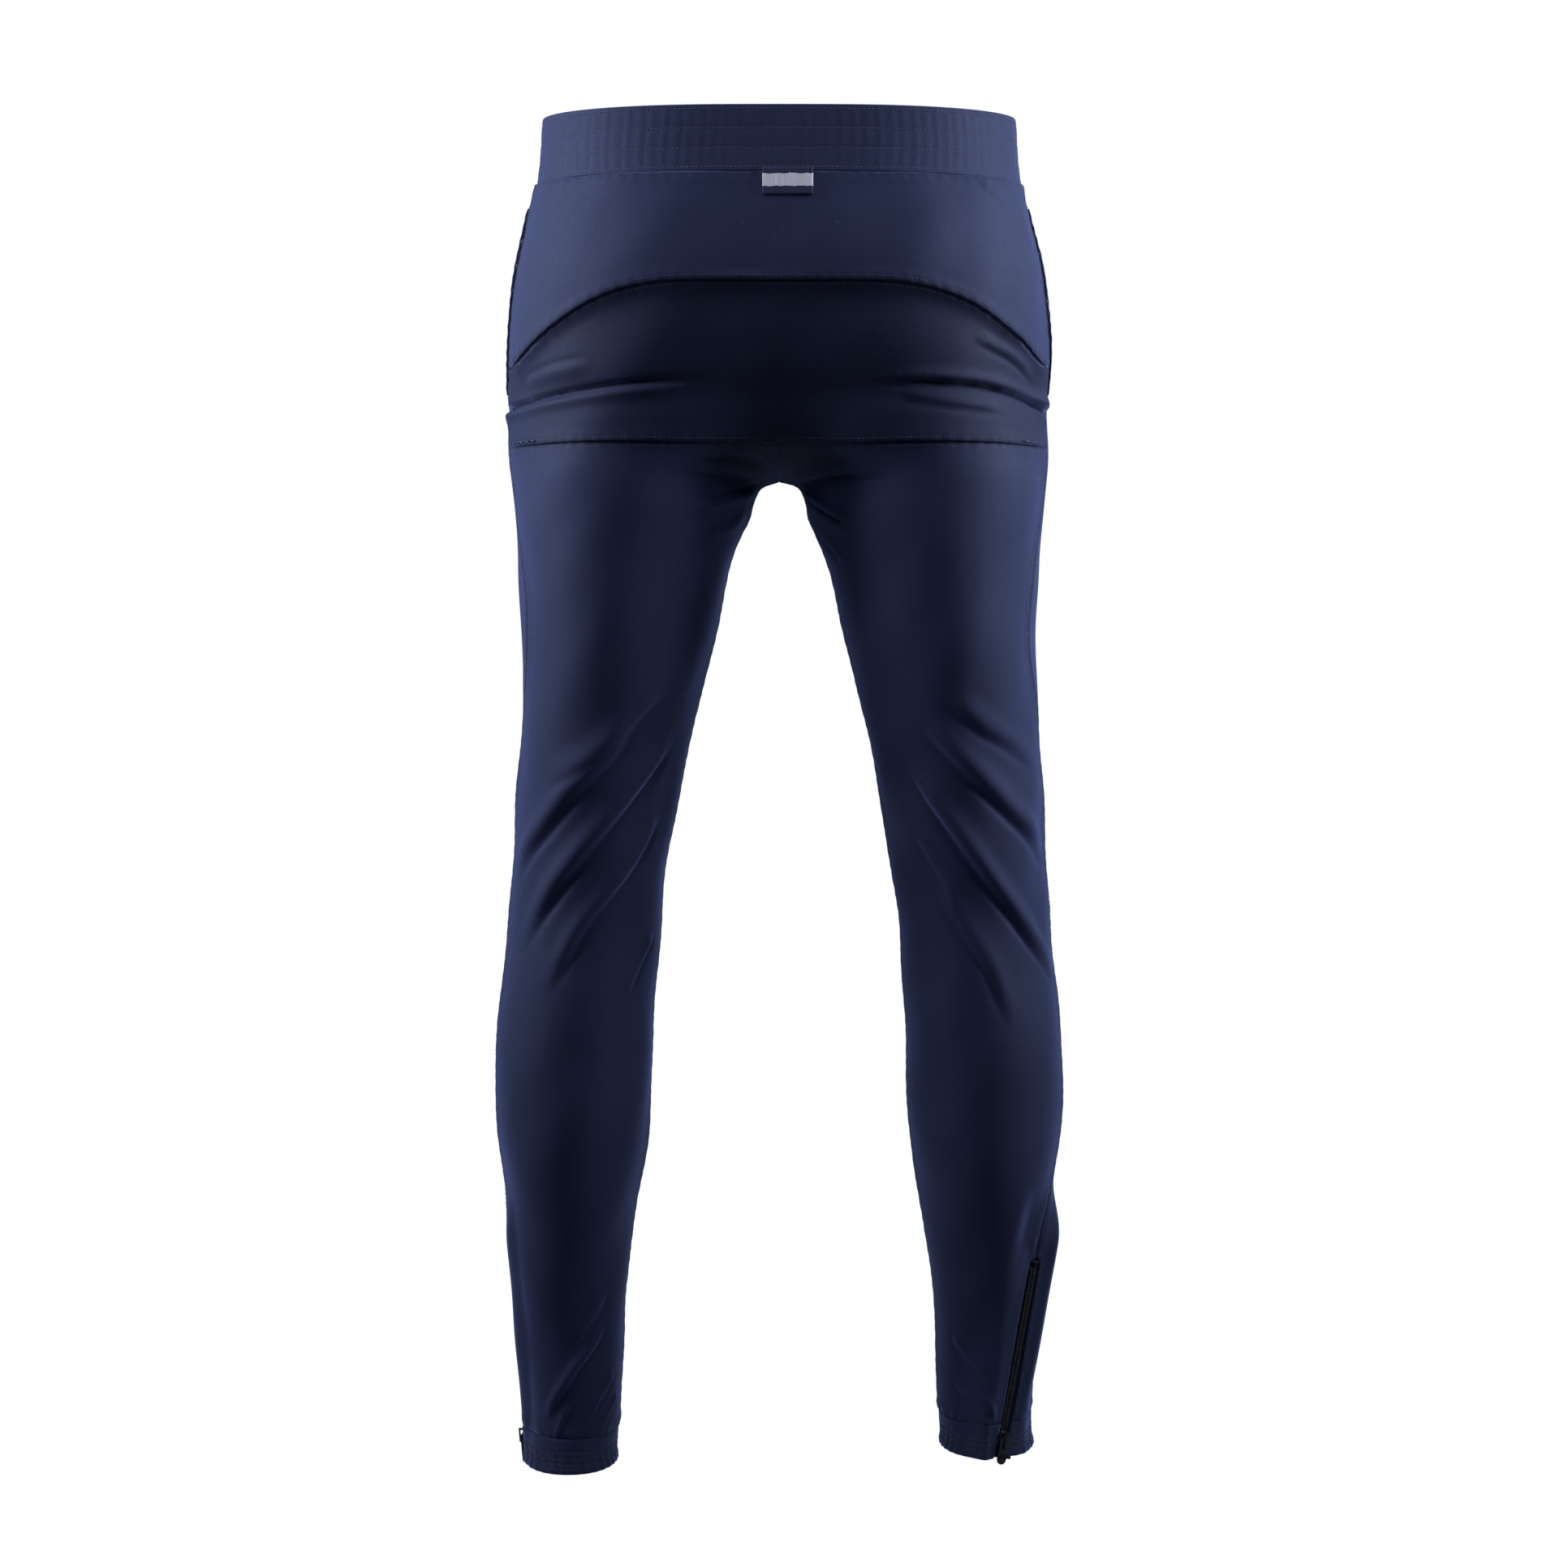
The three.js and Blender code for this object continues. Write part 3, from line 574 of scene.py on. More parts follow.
BACK_FOLDS = (
    # under the seat, beside the side seams
    Fold(
        ((-0.1985, -0.219), (-0.153, -0.211), (-0.110, -0.206), (-0.050, -0.203)),
        0.0024,
        0.0066,
        crease=2.1,
        from_seam=True,
    ),
    Fold(((-0.192, -0.198), (-0.165, -0.190), (-0.135, -0.187)), 0.0012, 0.008),
    Fold(
        ((0.1985, -0.216), (0.176, -0.208), (0.150, -0.203), (0.112, -0.201), (0.060, -0.203)),
        0.0024,
        0.0066,
        crease=2.1,
        from_seam=True,
    ),
    Fold(((0.082, -0.213), (0.129, -0.219), (0.170, -0.223)), 0.0014, 0.007, flip=True),
    Fold(((0.141, -0.171), (0.170, -0.182), (0.193, -0.199)), 0.0016, 0.007, flip=True),
    Fold(((0.144, -0.056), (0.156, -0.064), (0.168, -0.075)), 0.0015, 0.005, flip=True),
    # soft level pulls above the arch
    Fold(((-0.065, -0.126), (-0.020, -0.125), (0.029, -0.126)), 0.0009, 0.0045, centred=True),
    # pulls that run out of the crotch
    Fold(((-0.074, -0.263), (-0.034, -0.258), (-0.012, -0.262), (-0.002, -0.268)), 0.0019, 0.0055),
    Fold(((-0.067, -0.290), (-0.042, -0.284), (-0.025, -0.278), (-0.010, -0.270)), 0.0024, 0.0055),
    Fold(((-0.058, -0.309), (-0.038, -0.303), (-0.024, -0.290)), 0.0018, 0.006),
    Fold(((0.008, -0.271), (0.043, -0.266), (0.084, -0.270)), 0.0022, 0.0055, flip=True),
    Fold(((0.012, -0.276), (0.034, -0.292), (0.056, -0.306)), 0.0020, 0.0055, flip=True),
    Fold(((0.020, -0.296), (0.036, -0.316), (0.050, -0.334)), 0.0012, 0.006, flip=True),
    # behind the left knee
    Fold(((-0.100, -0.440), (-0.118, -0.471), (-0.152, -0.503), (-0.174, -0.531), (-0.196, -0.570)), 0.0030, 0.013),
    Fold(((-0.076, -0.456), (-0.111, -0.508), (-0.143, -0.546), (-0.168, -0.578), (-0.192, -0.622)), 0.0036, 0.012),
    Fold(((-0.086, -0.514), (-0.111, -0.558), (-0.143, -0.599), (-0.172, -0.652)), 0.0028, 0.010),
    Fold(((-0.094, -0.604), (-0.103, -0.628), (-0.112, -0.650)), 0.0016, 0.007),
    Fold(((-0.080, -0.420), (-0.105, -0.448), (-0.140, -0.478), (-0.175, -0.500)), 0.0014, 0.012),
    # behind the right knee
    Fold(
        ((0.091, -0.476), (0.123, -0.524), (0.154, -0.567), (0.182, -0.605), (0.204, -0.645)),
        0.0034,
        0.011,
        flip=True,
    ),
    Fold(((0.100, -0.446), (0.138, -0.486), (0.166, -0.512), (0.196, -0.556)), 0.0030, 0.013, flip=True),
    Fold(((0.118, -0.430), (0.150, -0.456), (0.188, -0.482)), 0.0016, 0.012, flip=True),
    Fold(((0.110, -0.560), (0.130, -0.594), (0.154, -0.630), (0.172, -0.678)), 0.0016, 0.011, flip=True),
    Fold(((0.100, -0.530), (0.118, -0.562), (0.134, -0.592)), 0.0010, 0.009, flip=True),
    # above the left heel
    Fold(((-0.128, -0.894), (-0.148, -0.924), (-0.161, -0.945), (-0.172, -0.966)), 0.0028, 0.0055),
    Fold(((-0.122, -0.928), (-0.132, -0.946), (-0.141, -0.962)), 0.0016, 0.004),
    Fold(((-0.120, -0.944), (-0.126, -0.958), (-0.132, -0.970)), 0.0012, 0.0032),
    Fold(((-0.153, -0.950), (-0.159, -0.965), (-0.165, -0.980)), 0.0013, 0.0036),
    Fold(((-0.126, -0.868), (-0.139, -0.890), (-0.152, -0.910)), 0.0012, 0.007),
    # beside the right zip
    Fold(((0.190, -0.826), (0.186, -0.846), (0.184, -0.868)), 0.0012, 0.004),
    Fold(((0.186, -0.872), (0.180, -0.892), (0.178, -0.912)), 0.0012, 0.004),
    Fold(((0.182, -0.916), (0.175, -0.934), (0.172, -0.952)), 0.0012, 0.004),
    Fold(((0.128, -0.936), (0.143, -0.948), (0.157, -0.966)), 0.0013, 0.005, flip=True),
    Fold(((0.126, -0.900), (0.139, -0.918), (0.150, -0.932)), 0.0011, 0.007, flip=True),
)

FRONT_FOLDS = (
    Fold(((-0.010, -0.262), (-0.050, -0.246), (-0.095, -0.238)), 0.0026, 0.008, face=Face.FRONT),
    Fold(((-0.012, -0.275), (-0.050, -0.276), (-0.092, -0.270)), 0.0022, 0.007, face=Face.FRONT),
    Fold(((-0.020, -0.292), (-0.055, -0.308), (-0.088, -0.318)), 0.0018, 0.008, face=Face.FRONT),
    Fold(((0.010, -0.260), (0.052, -0.248), (0.098, -0.236)), 0.0026, 0.008, flip=True, face=Face.FRONT),
    Fold(((0.012, -0.276), (0.052, -0.274), (0.088, -0.272)), 0.0022, 0.007, flip=True, face=Face.FRONT),
    Fold(((0.020, -0.290), (0.050, -0.308), (0.086, -0.322)), 0.0018, 0.008, flip=True, face=Face.FRONT),
    Fold(((-0.190, -0.560), (-0.160, -0.580), (-0.120, -0.590)), 0.0020, 0.011, face=Face.FRONT),
    Fold(((-0.188, -0.618), (-0.155, -0.628), (-0.112, -0.626)), 0.0017, 0.010, face=Face.FRONT),
    Fold(((0.192, -0.566), (0.158, -0.584), (0.116, -0.588)), 0.0020, 0.011, flip=True, face=Face.FRONT),
    Fold(((0.188, -0.624), (0.150, -0.632), (0.112, -0.626)), 0.0016, 0.010, flip=True, face=Face.FRONT),
    Fold(((-0.176, -0.912), (-0.152, -0.926), (-0.126, -0.930)), 0.0017, 0.006, face=Face.FRONT),
    Fold(((-0.170, -0.940), (-0.148, -0.948), (-0.130, -0.946)), 0.0013, 0.005, face=Face.FRONT),
    Fold(((0.176, -0.902), (0.152, -0.916), (0.126, -0.918)), 0.0017, 0.006, flip=True, face=Face.FRONT),
    Fold(((0.172, -0.930), (0.150, -0.938), (0.128, -0.934)), 0.0013, 0.005, flip=True, face=Face.FRONT),
)


@dataclass
class Drape:
    """The relief of folds, puckers and rolled seams over the skin."""

    plan: SeamPlan
    folds: tuple[Fold, ...] = BACK_FOLDS + FRONT_FOLDS
    wave: float = 0.0007
    pucker: float = 0.00028
    pucker_reach: float = 0.0055
    pucker_pitch: float = 0.0105
    seam_bulge: float = 0.00045
    seam_bulge_reach: float = 0.0035
    yoke_overhang: float = 0.0010
    yoke_hollow: float = 0.0042
    yoke_fade: float = 0.015
    seat_overhang: float = 0.0012
    seat_hollow: float = 0.0012
    seat_fade: float = 0.007
    tuck: float = 0.0026
    tuck_level: float = -0.209
    tuck_reach: float = 0.013
    boost: float = 1.25
    slim: float = 0.74
    most: float = 0.0095
    waves: int = 14
    seed: int = 11

    def __post_init__(self) -> None:
        """Lays the folds out on the skin and draws the directions of the soft waves."""
        draw = np.random.default_rng(self.seed)
        self._directions = unit(draw.normal(size=(self.waves, 3))) * (2 * math.pi)
        self._pitches = draw.uniform(0.045, 0.150, self.waves)
        self._phases = draw.uniform(0.0, 2 * math.pi, self.waves)
        self._laid = [self._lay(fold) for fold in self.folds]

    def _chart(self, side: Array, share: Array, height: Array, centred: bool) -> Array:
        """The distance round the skin from the outer side, or from the back centre."""
        origin = 0.0 if centred else 0.5
        return side * (share - origin) * self.plan.skin.loop_length(height)

    def _lay(self, fold: Fold) -> tuple[Array, Array, float]:
        """A fold's line in the chart of the skin, as a smooth run of points, with its side.

        Args:
            fold: The fold.

        Returns:
            Its points, its headings and its side, 0 for a centred fold.
        """
        skin = self.plan.skin
        points = np.array(fold.line)
        low, high = (0.0, 0.5) if fold.face is Face.BACK else (1.0, 0.5)
        shares = np.linspace(low, high, 61)
        chart = []
        side = math.copysign(1.0, points[:, 0].mean())
        for x, z in points:
            own = math.copysign(1.0, x) if fold.centred else side
            reach = np.abs(skin.smooth(own, shares, z)[0][:, 0])
            share = np.interp(abs(x), reach, shares)
            chart.append([float(self._chart(own, share, np.array(z), fold.centred)), z])
        chart = np.array(chart)
        run = np.concatenate([[0.0], np.cumsum(np.linalg.norm(np.diff(chart, axis=0), axis=1))])
        places = np.linspace(0.0, run[-1], 28)
        rough = np.stack([np.interp(places, run, chart[:, k]) for k in range(2)], axis=1)
        for _ in range(3):
            rough[1:-1] = (rough[:-2] + 2 * rough[1:-1] + rough[2:]) / 4
        return rough, unit(np.gradient(rough, axis=0)), 0.0 if fold.centred else side

    def _fold_relief(self, index: int, side: Array, u: Array, z: Array) -> Array:
        """The relief of one fold at places in its chart.

        Args:
            index: The fold's place in the list.
            side: -1 on the left, 1 on the right.
            u: The distance round the skin.
            z: The height.

        Returns:
            The relief.
        """
        fold = self.folds[index]
        line, along, own_side = self._laid[index]
        width = self.slim * fold.width
        reach = 4 * width
        near = (
            (u > line[:, 0].min() - reach)
            & (u < line[:, 0].max() + reach)
            & (z > line[:, 1].min() - reach)
            & (z < line[:, 1].max() + reach)
        )
        if own_side:
            near &= side == own_side
        relief = np.zeros(u.shape)
        if not near.any():
            return relief
        place = np.stack([u[near], z[near]], axis=1)
        offset = place[:, None, :] - line[None, :, :]
        distance = np.linalg.norm(offset, axis=2)
        nearest = distance.argmin(axis=1)
        rows = np.arange(len(place))
        t = nearest / (len(line) - 1)
        chosen = offset[rows, nearest]
        heading = along[nearest]
        past = np.abs((chosen * heading).sum(axis=1))
        sideways = heading[:, 0] * chosen[:, 1] - heading[:, 1] * chosen[:, 0]
        if fold.flip:
            sideways = -sideways
        ridge = np.exp(-(((sideways + 0.55 * width) / width) ** 2))
        valley = np.exp(-(((sideways - 0.45 * width) / (0.42 * width)) ** 2))
        rise = 1.0 if fold.from_seam else smoothstep(t, 0.0, 0.22)
        fade = rise * (1 - smoothstep(t, 0.7, 1.0)) * np.exp(-((past / (2 * width)) ** 2))
        relief[near] = self.boost * fold.ridge * fade * (ridge - fold.crease * valley)
        return relief

    def folds_at(self, side: Array, share: Array, height: Array) -> Array:
        """The relief of all folds.

        Args:
            side: -1 on the left, 1 on the right.
            share: The share of the way round.
            height: The height.

        Returns:
            The relief.
        """
        outer = self._chart(side, share, height, False)
        centred = self._chart(side, share, height, True)
        total = np.zeros(np.shape(height))
        for index, fold in enumerate(self.folds):
            total += self._fold_relief(index, side, centred if fold.centred else outer, height)
        return total

    def seam_distances(self, side: Array, share: Array, height: Array) -> tuple[Array, Array]:
        """How far each place is from the nearest level seam and from the nearest upright seam.

        Args:
            side: -1 on the left, 1 on the right.
            share: The share of the way round.
            height: The height.

        Returns:
            The two distances.
        """
        plan, skin = self.plan, self.plan.skin
        loop = skin.loop_length(height)
        back = plan.back(side, height)
        behind = share < back + 1e-6
        below = height < -skin.rise
        level = np.minimum(np.abs(height - plan.waist), np.abs(height - plan.leg_end(side, share)))
        arch = np.abs(height - plan.yoke(share))
        level = np.minimum(level, np.where(behind, np.minimum(arch, np.abs(height - plan.seat)), FAR))
        upright = np.minimum(np.abs(share - back), np.abs(share - plan.front(side, height))) * loop
        ends = np.where(below, np.minimum(share, 1 - share), 1 - share) * loop
        return level, np.minimum(upright, np.abs(ends))

    def relief(self, side: Array, share: Array, height: Array) -> Array:
        """How far the cloth stands out from the skin.

        Args:
            side: -1 on the left, 1 on the right.
            share: The share of the way round.
            height: The height.

        Returns:
            The relief, above 0 where the cloth stands out.
        """
        side, share, height = np.broadcast_arrays(*(np.asarray(a, float) for a in (side, share, height)))
        skin = self.plan.skin
        point, _ = skin.smooth(side, share, height)
        waves = np.zeros(height.shape)
        for direction, pitch, phase in zip(self._directions, self._pitches, self._phases):
            waves += np.sin(point @ direction / pitch + phase)
        waves *= self.wave / math.sqrt(self.waves / 2)
        level, upright = self.seam_distances(side, share, height)
        round_way = self._chart(side, share, height, False)
        wobble = 1.4 * np.sin(point @ self._directions[0] / 0.021 + self._phases[1])
        turn = 2 * math.pi / self.pucker_pitch
        pucker = np.exp(-((level / self.pucker_reach) ** 2)) * np.sin(round_way * turn + wobble)
        pucker += np.exp(-((upright / self.pucker_reach) ** 2)) * np.sin(height * turn + wobble)
        reach = self.seam_bulge_reach
        roll = sum(np.exp(-(((gap - 1.4 * reach) / reach) ** 2)) for gap in (level, upright))
        arch = height - self.plan.yoke(share)
        behind = smoothstep(self.plan.back(side, height) - share, 0.0, 0.06)
        lip, hollow = self._overlap(arch, self.yoke_overhang, self.yoke_hollow, self.yoke_fade)
        seam = height - self.plan.seat
        seat_lip, seat_hollow = self._overlap(seam, self.seat_overhang, self.seat_hollow, self.seat_fade)
        total = waves + self.pucker * pucker + self.seam_bulge * roll
        tuck = self.tuck * np.exp(-(((height - self.tuck_level) / self.tuck_reach) ** 2))
        total = total + behind * (lip - hollow + seat_lip - seat_hollow - tuck)
        centre = np.minimum(share, 1 - share) * skin.loop_length(height)
        joined = smoothstep(centre, 0.0, 0.014) + (1 - smoothstep(height, -skin.rise - 0.012, -skin.rise))
        total = total + self.folds_at(side, share, height) * np.clip(joined, 0.0, 1.0)
        total = total * smoothstep(-height, 0.0, 0.004)
        calm = self._zip_calm(side, point)
        return np.clip(total * calm, -self.most, self.most)

    def _overlap(self, above: Array, lip: float, hollow: float, reach: float) -> tuple[Array, Array]:
        """How far the cloth swells above a seam and how far it sinks below it.

        Args:
            above: The height above the seam.
            lip: The greatest swell.
            hollow: The greatest sink.
            reach: The distance over which it sinks.

        Returns:
            The swell and the sink.
        """
        swell = lip * np.exp(-np.abs(above) / reach) * (above >= 0)
        under = np.maximum(-above, 0.0) / reach
        return swell, (hollow * under * np.exp(1 - under) + 0.5 * lip * np.exp(-under)) * (above < 0)

    def _zip_calm(self, side: Array, point: Array) -> Array:
        """How much relief is left beside the zips, where the cloth is held flat by its stitching.

        Args:
            side: -1 on the left, 1 on the right.
            point: The point on the skin.

        Returns:
            1 where the relief is whole, 0 where it is held flat.
        """
        calm = np.ones(side.shape)
        skin = self.plan.skin
        for one in Side:
            line = skin.zips[one]
            offset = point - line.foot
            sideways = np.abs(offset @ line.across)
            up = offset @ line.along
            held = (1 - smoothstep(sideways, 0.006, 0.016)) * (1 - smoothstep(up, skin.zip_length, 0.165))
            calm = calm - held * (side == one.value) * (np.abs(offset @ line.outward) < 0.012)
        return calm


# ---- finishes

Colour = tuple[float, float, float]


class Graph:
    """A node tree that is filled by short calls."""

    def __init__(self, tree: bpy.types.NodeTree) -> None:
        """Keeps the tree.

        Args:
            tree: The node tree to fill.
        """
        self.tree = tree

    def node(self, kind: str, inputs: dict[str | int, object] | None = None, **settings: object) -> bpy.types.Node:
        """Adds a node.

        Args:
            kind: The node's type.
            inputs: Values or output sockets for its inputs.
            settings: Properties of the node.

        Returns:
            The node.
        """
        node = self.tree.nodes.new(kind)
        for name, value in settings.items():
            setattr(node, name, value)
        for name, value in (inputs or {}).items():
            if isinstance(value, bpy.types.NodeSocket):
                self.tree.links.new(value, node.inputs[name])
            else:
                node.inputs[name].default_value = value
        return node

    def math(self, operation: str, *values: object) -> bpy.types.NodeSocket:
        """Adds a Math node and returns its output."""
        return self.node("ShaderNodeMath", dict(enumerate(values)), operation=operation).outputs[0]

    def blend(self, share: object, low: object, high: object) -> bpy.types.NodeSocket:
        """Mixes two colours and returns the result."""
        mix = self.node("ShaderNodeMix", {0: share, 6: low, 7: high}, data_type="RGBA")
        return mix.outputs[2]


def group_tree(name: str, inputs: dict[str, str], outputs: dict[str, str]) -> tuple[bpy.types.NodeTree, Graph, dict]:
    """Starts a shader node group.

    Args:
        name: The group's name.
        inputs: Socket types by input name.
        outputs: Socket types by output name.

    Returns:
        The tree, its graph, and the group's input sockets by name.
    """
    tree = bpy.data.node_groups.new(name, "ShaderNodeTree")
    for label, kind in inputs.items():
        tree.interface.new_socket(label, in_out="INPUT", socket_type=kind)
    for label, kind in outputs.items():
        tree.interface.new_socket(label, in_out="OUTPUT", socket_type=kind)
    graph = Graph(tree)
    given = graph.node("NodeGroupInput")
    return tree, graph, {label: given.outputs[label] for label in inputs}


def group_out(graph: Graph, values: dict[str, object]) -> None:
    """Joins a group's results to its outputs."""
    graph.node("NodeGroupOutput", values)


def threads_group() -> bpy.types.NodeTree:
    """A plain weave: the height of the threads and which of the two systems is on top."""
    tree, graph, given = group_tree(
        "threads",
        {"Run": "NodeSocketVector", "Pitch": "NodeSocketFloat", "Lean": "NodeSocketFloat"},
        {"Height": "NodeSocketFloat", "Over": "NodeSocketFloat"},
    )
    parts = graph.node("ShaderNodeSeparateXYZ", {0: given["Run"]})
    angle = [graph.math("DIVIDE", parts.outputs[k], given["Pitch"]) for k in range(2)]
    slanted = graph.math("ADD", angle[0], graph.math("MULTIPLY", angle[1], given["Lean"]))
    warp = graph.math("SINE", graph.math("MULTIPLY", slanted, math.pi))
    weft = graph.math("SINE", graph.math("MULTIPLY", angle[1], math.pi))
    over = graph.math("GREATER_THAN", graph.math("MULTIPLY", warp, weft), 0.0)
    up, across = graph.math("ABSOLUTE", warp), graph.math("ABSOLUTE", weft)
    under = graph.math("MULTIPLY", across, graph.math("SUBTRACT", 1.0, over))
    height = graph.math("ADD", graph.math("MULTIPLY", up, over), under)
    group_out(graph, {"Height": height, "Over": over})
    return tree


def ribs_group() -> bpy.types.NodeTree:
    """Rounded ribs across a woven band."""
    tree, graph, given = group_tree(
        "ribs", {"Run": "NodeSocketVector", "Pitch": "NodeSocketFloat"}, {"Height": "NodeSocketFloat"}
    )
    parts = graph.node("ShaderNodeSeparateXYZ", {0: given["Run"]})
    turn = graph.math("MULTIPLY", graph.math("DIVIDE", parts.outputs[1], given["Pitch"]), math.pi)
    group_out(graph, {"Height": graph.math("ABSOLUTE", graph.math("SINE", turn))})
    return tree


def cast_group() -> bpy.types.NodeTree:
    """The soft unevenness of a surface: a broad mask and a fine one."""
    tree, graph, given = group_tree(
        "cast",
        {"Position": "NodeSocketVector", "Broad": "NodeSocketFloat", "Fine": "NodeSocketFloat"},
        {"Broad": "NodeSocketFloat", "Fine": "NodeSocketFloat"},
    )
    settings = {"Vector": given["Position"], "Detail": 3.0}
    broad = graph.node("ShaderNodeTexNoise", {**settings, "Scale": given["Broad"]})
    fine = graph.node("ShaderNodeTexNoise", {**settings, "Scale": given["Fine"]})
    group_out(graph, {"Broad": broad.outputs[0], "Fine": fine.outputs[0]})
    return tree


class Groups:
    """The shared node groups, each built once."""

    _made: dict[str, bpy.types.NodeTree] = {}

    @classmethod
    def place(cls, graph: Graph, name: str, inputs: dict[str, object]) -> bpy.types.Node:
        """Places a shared group in a material.

        Args:
            graph: The material's graph.
            name: threads, ribs or cast.
            inputs: Values for the group's inputs.

        Returns:
            The group's node.
        """
        makers = {"threads": threads_group, "ribs": ribs_group, "cast": cast_group}
        if name not in cls._made:
            cls._made[name] = makers[name]()
        return graph.node("ShaderNodeGroup", inputs, node_tree=cls._made[name])


def rgba(colour: Colour) -> tuple[float, float, float, float]:
    """A colour with full opacity."""
    return (*colour, 1.0)


def started(name: str) -> tuple[bpy.types.Material, Graph]:
    """An empty node material and its graph.

    Args:
        name: The material's name.

    Returns:
        The material and its graph.
    """
    material = bpy.data.materials.new(name)
    material.use_nodes = True
    material.node_tree.nodes.clear()
    return material, Graph(material.node_tree)


@dataclass(frozen=True)
class Stripe:
    """A level stripe woven into a tape."""

    level: float
    half: float
    colour: Colour


@dataclass(frozen=True)
class ClothFinish:
    """Woven or knitted cloth: its tones, its threads and its sheen."""

    name: str
    base: Colour
    shade: Colour
    pitch: float = 0.0007
    lean: float = 1.0
    bump: float = 0.35
    depth: float = 0.00012
    roughness: float = 0.68
    sheen: float = 0.9
    sheen_tint: Colour = (0.30, 0.41, 1.0)
    sheen_roughness: float = 0.36
    specular: float = 0.26
    specular_tint: Colour = (0.36, 0.48, 1.0)
    rib: float = 0.0
    stripe: Stripe | None = None

    def material(self) -> bpy.types.Material:
        """Builds the node material."""
        material, graph = started(self.name)
        run = graph.node("ShaderNodeAttribute", attribute_name="run").outputs["Vector"]
        tone = graph.node("ShaderNodeAttribute", attribute_name="tone").outputs["Fac"]
        place = graph.node("ShaderNodeTexCoord").outputs["Object"]
        threads = Groups.place(graph, "threads", {"Run": run, "Pitch": self.pitch, "Lean": self.lean})
        cast = Groups.place(graph, "cast", {"Position": place, "Broad": 7.0, "Fine": 240.0})
        height = threads.outputs["Height"]
        if self.rib:
            ribs = Groups.place(graph, "ribs", {"Run": run, "Pitch": self.rib})
            height = graph.math("ADD", graph.math("MULTIPLY", ribs.outputs[0], 3.0), height)
        uneven = graph.math("MULTIPLY_ADD", cast.outputs["Broad"], 0.7, -0.12)
        colour = graph.blend(uneven, rgba(self.base), rgba(self.shade))
        if self.stripe:
            level = graph.node("ShaderNodeSeparateXYZ", {0: place}).outputs[2]
            frayed = graph.math("MULTIPLY_ADD", cast.outputs["Fine"], 0.0024, level)
            mask = graph.math("COMPARE", frayed, self.stripe.level + 0.0012, self.stripe.half)
            colour = graph.blend(mask, colour, rgba(self.stripe.colour))
        woven = graph.math("MULTIPLY", threads.outputs["Over"], 0.22)
        colour = graph.blend(woven, colour, rgba(self.shade))
        speckle = graph.math("MULTIPLY", cast.outputs["Fine"], 0.18)
        colour = graph.blend(speckle, colour, rgba(self.shade))
        # painted shade: the colour darkens towards a deep navy where the point attribute marks creases, turned-under
        # edges and seams
        painted_shade_colour = tuple(part * 0.35 for part in self.shade)
        colour = graph.blend(graph.math("MULTIPLY", tone, 0.75), colour, rgba(painted_shade_colour))
        rough = graph.math("MULTIPLY_ADD", cast.outputs["Fine"], 0.12, self.roughness - 0.06)
        bump = graph.node("ShaderNodeBump", {"Strength": self.bump, "Distance": self.depth, "Height": height})
        shader = graph.node(
            "ShaderNodeBsdfPrincipled",
            {
                "Base Color": colour,
                "Roughness": rough,
                "Sheen Weight": self.sheen,
                "Sheen Roughness": self.sheen_roughness,
                "Sheen Tint": rgba(self.sheen_tint),
                "Specular IOR Level": self.specular,
                "Specular Tint": rgba(self.specular_tint),
                "Normal": bump.outputs[0],
            },
        )
        graph.node("ShaderNodeOutputMaterial", {"Surface": shader.outputs[0]})
        return material


@dataclass(frozen=True)
class HardFinish:
    """Painted metal, moulded nylon, rubber or sewing thread."""

    name: str
    base: Colour
    worn: Colour
    roughness: float
    metallic: float = 0.0
    grain: float = 900.0
    bump: float = 0.15
    depth: float = 0.00005
    coat: float = 0.0
    sheen: float = 0.0
    specular: float = 0.22

    def material(self) -> bpy.types.Material:
        """Builds the node material."""
        material, graph = started(self.name)
        place = graph.node("ShaderNodeTexCoord").outputs["Object"]
        cast = Groups.place(graph, "cast", {"Position": place, "Broad": 60.0, "Fine": self.grain})
        edge = graph.node("ShaderNodeNewGeometry").outputs["Pointiness"]
        wear = graph.math("SMOOTH_MIN", graph.math("MULTIPLY", graph.math("SUBTRACT", edge, 0.6), 5.0), 1.0, 0.1)
        worn = graph.math("MAXIMUM", graph.math("MULTIPLY", wear, cast.outputs["Broad"]), 0.0)
        colour = graph.blend(worn, rgba(self.base), rgba(self.worn))
        rough = graph.math("MULTIPLY_ADD", cast.outputs["Fine"], 0.2, self.roughness - 0.1)
        bump = graph.node(
            "ShaderNodeBump", {"Strength": self.bump, "Distance": self.depth, "Height": cast.outputs["Fine"]}
        )
        shader = graph.node(
            "ShaderNodeBsdfPrincipled",
            {
                "Base Color": colour,
                "Roughness": rough,
                "Metallic": self.metallic,
                "Coat Weight": self.coat,
                "Specular IOR Level": self.specular,
                "Sheen Weight": self.sheen,
                "Normal": bump.outputs[0],
            },
        )
        graph.node("ShaderNodeOutputMaterial", {"Surface": shader.outputs[0]})
        return material


NAVY = (0.0110, 0.0150, 0.0440)
DEEP_NAVY = (0.0062, 0.0082, 0.0240)

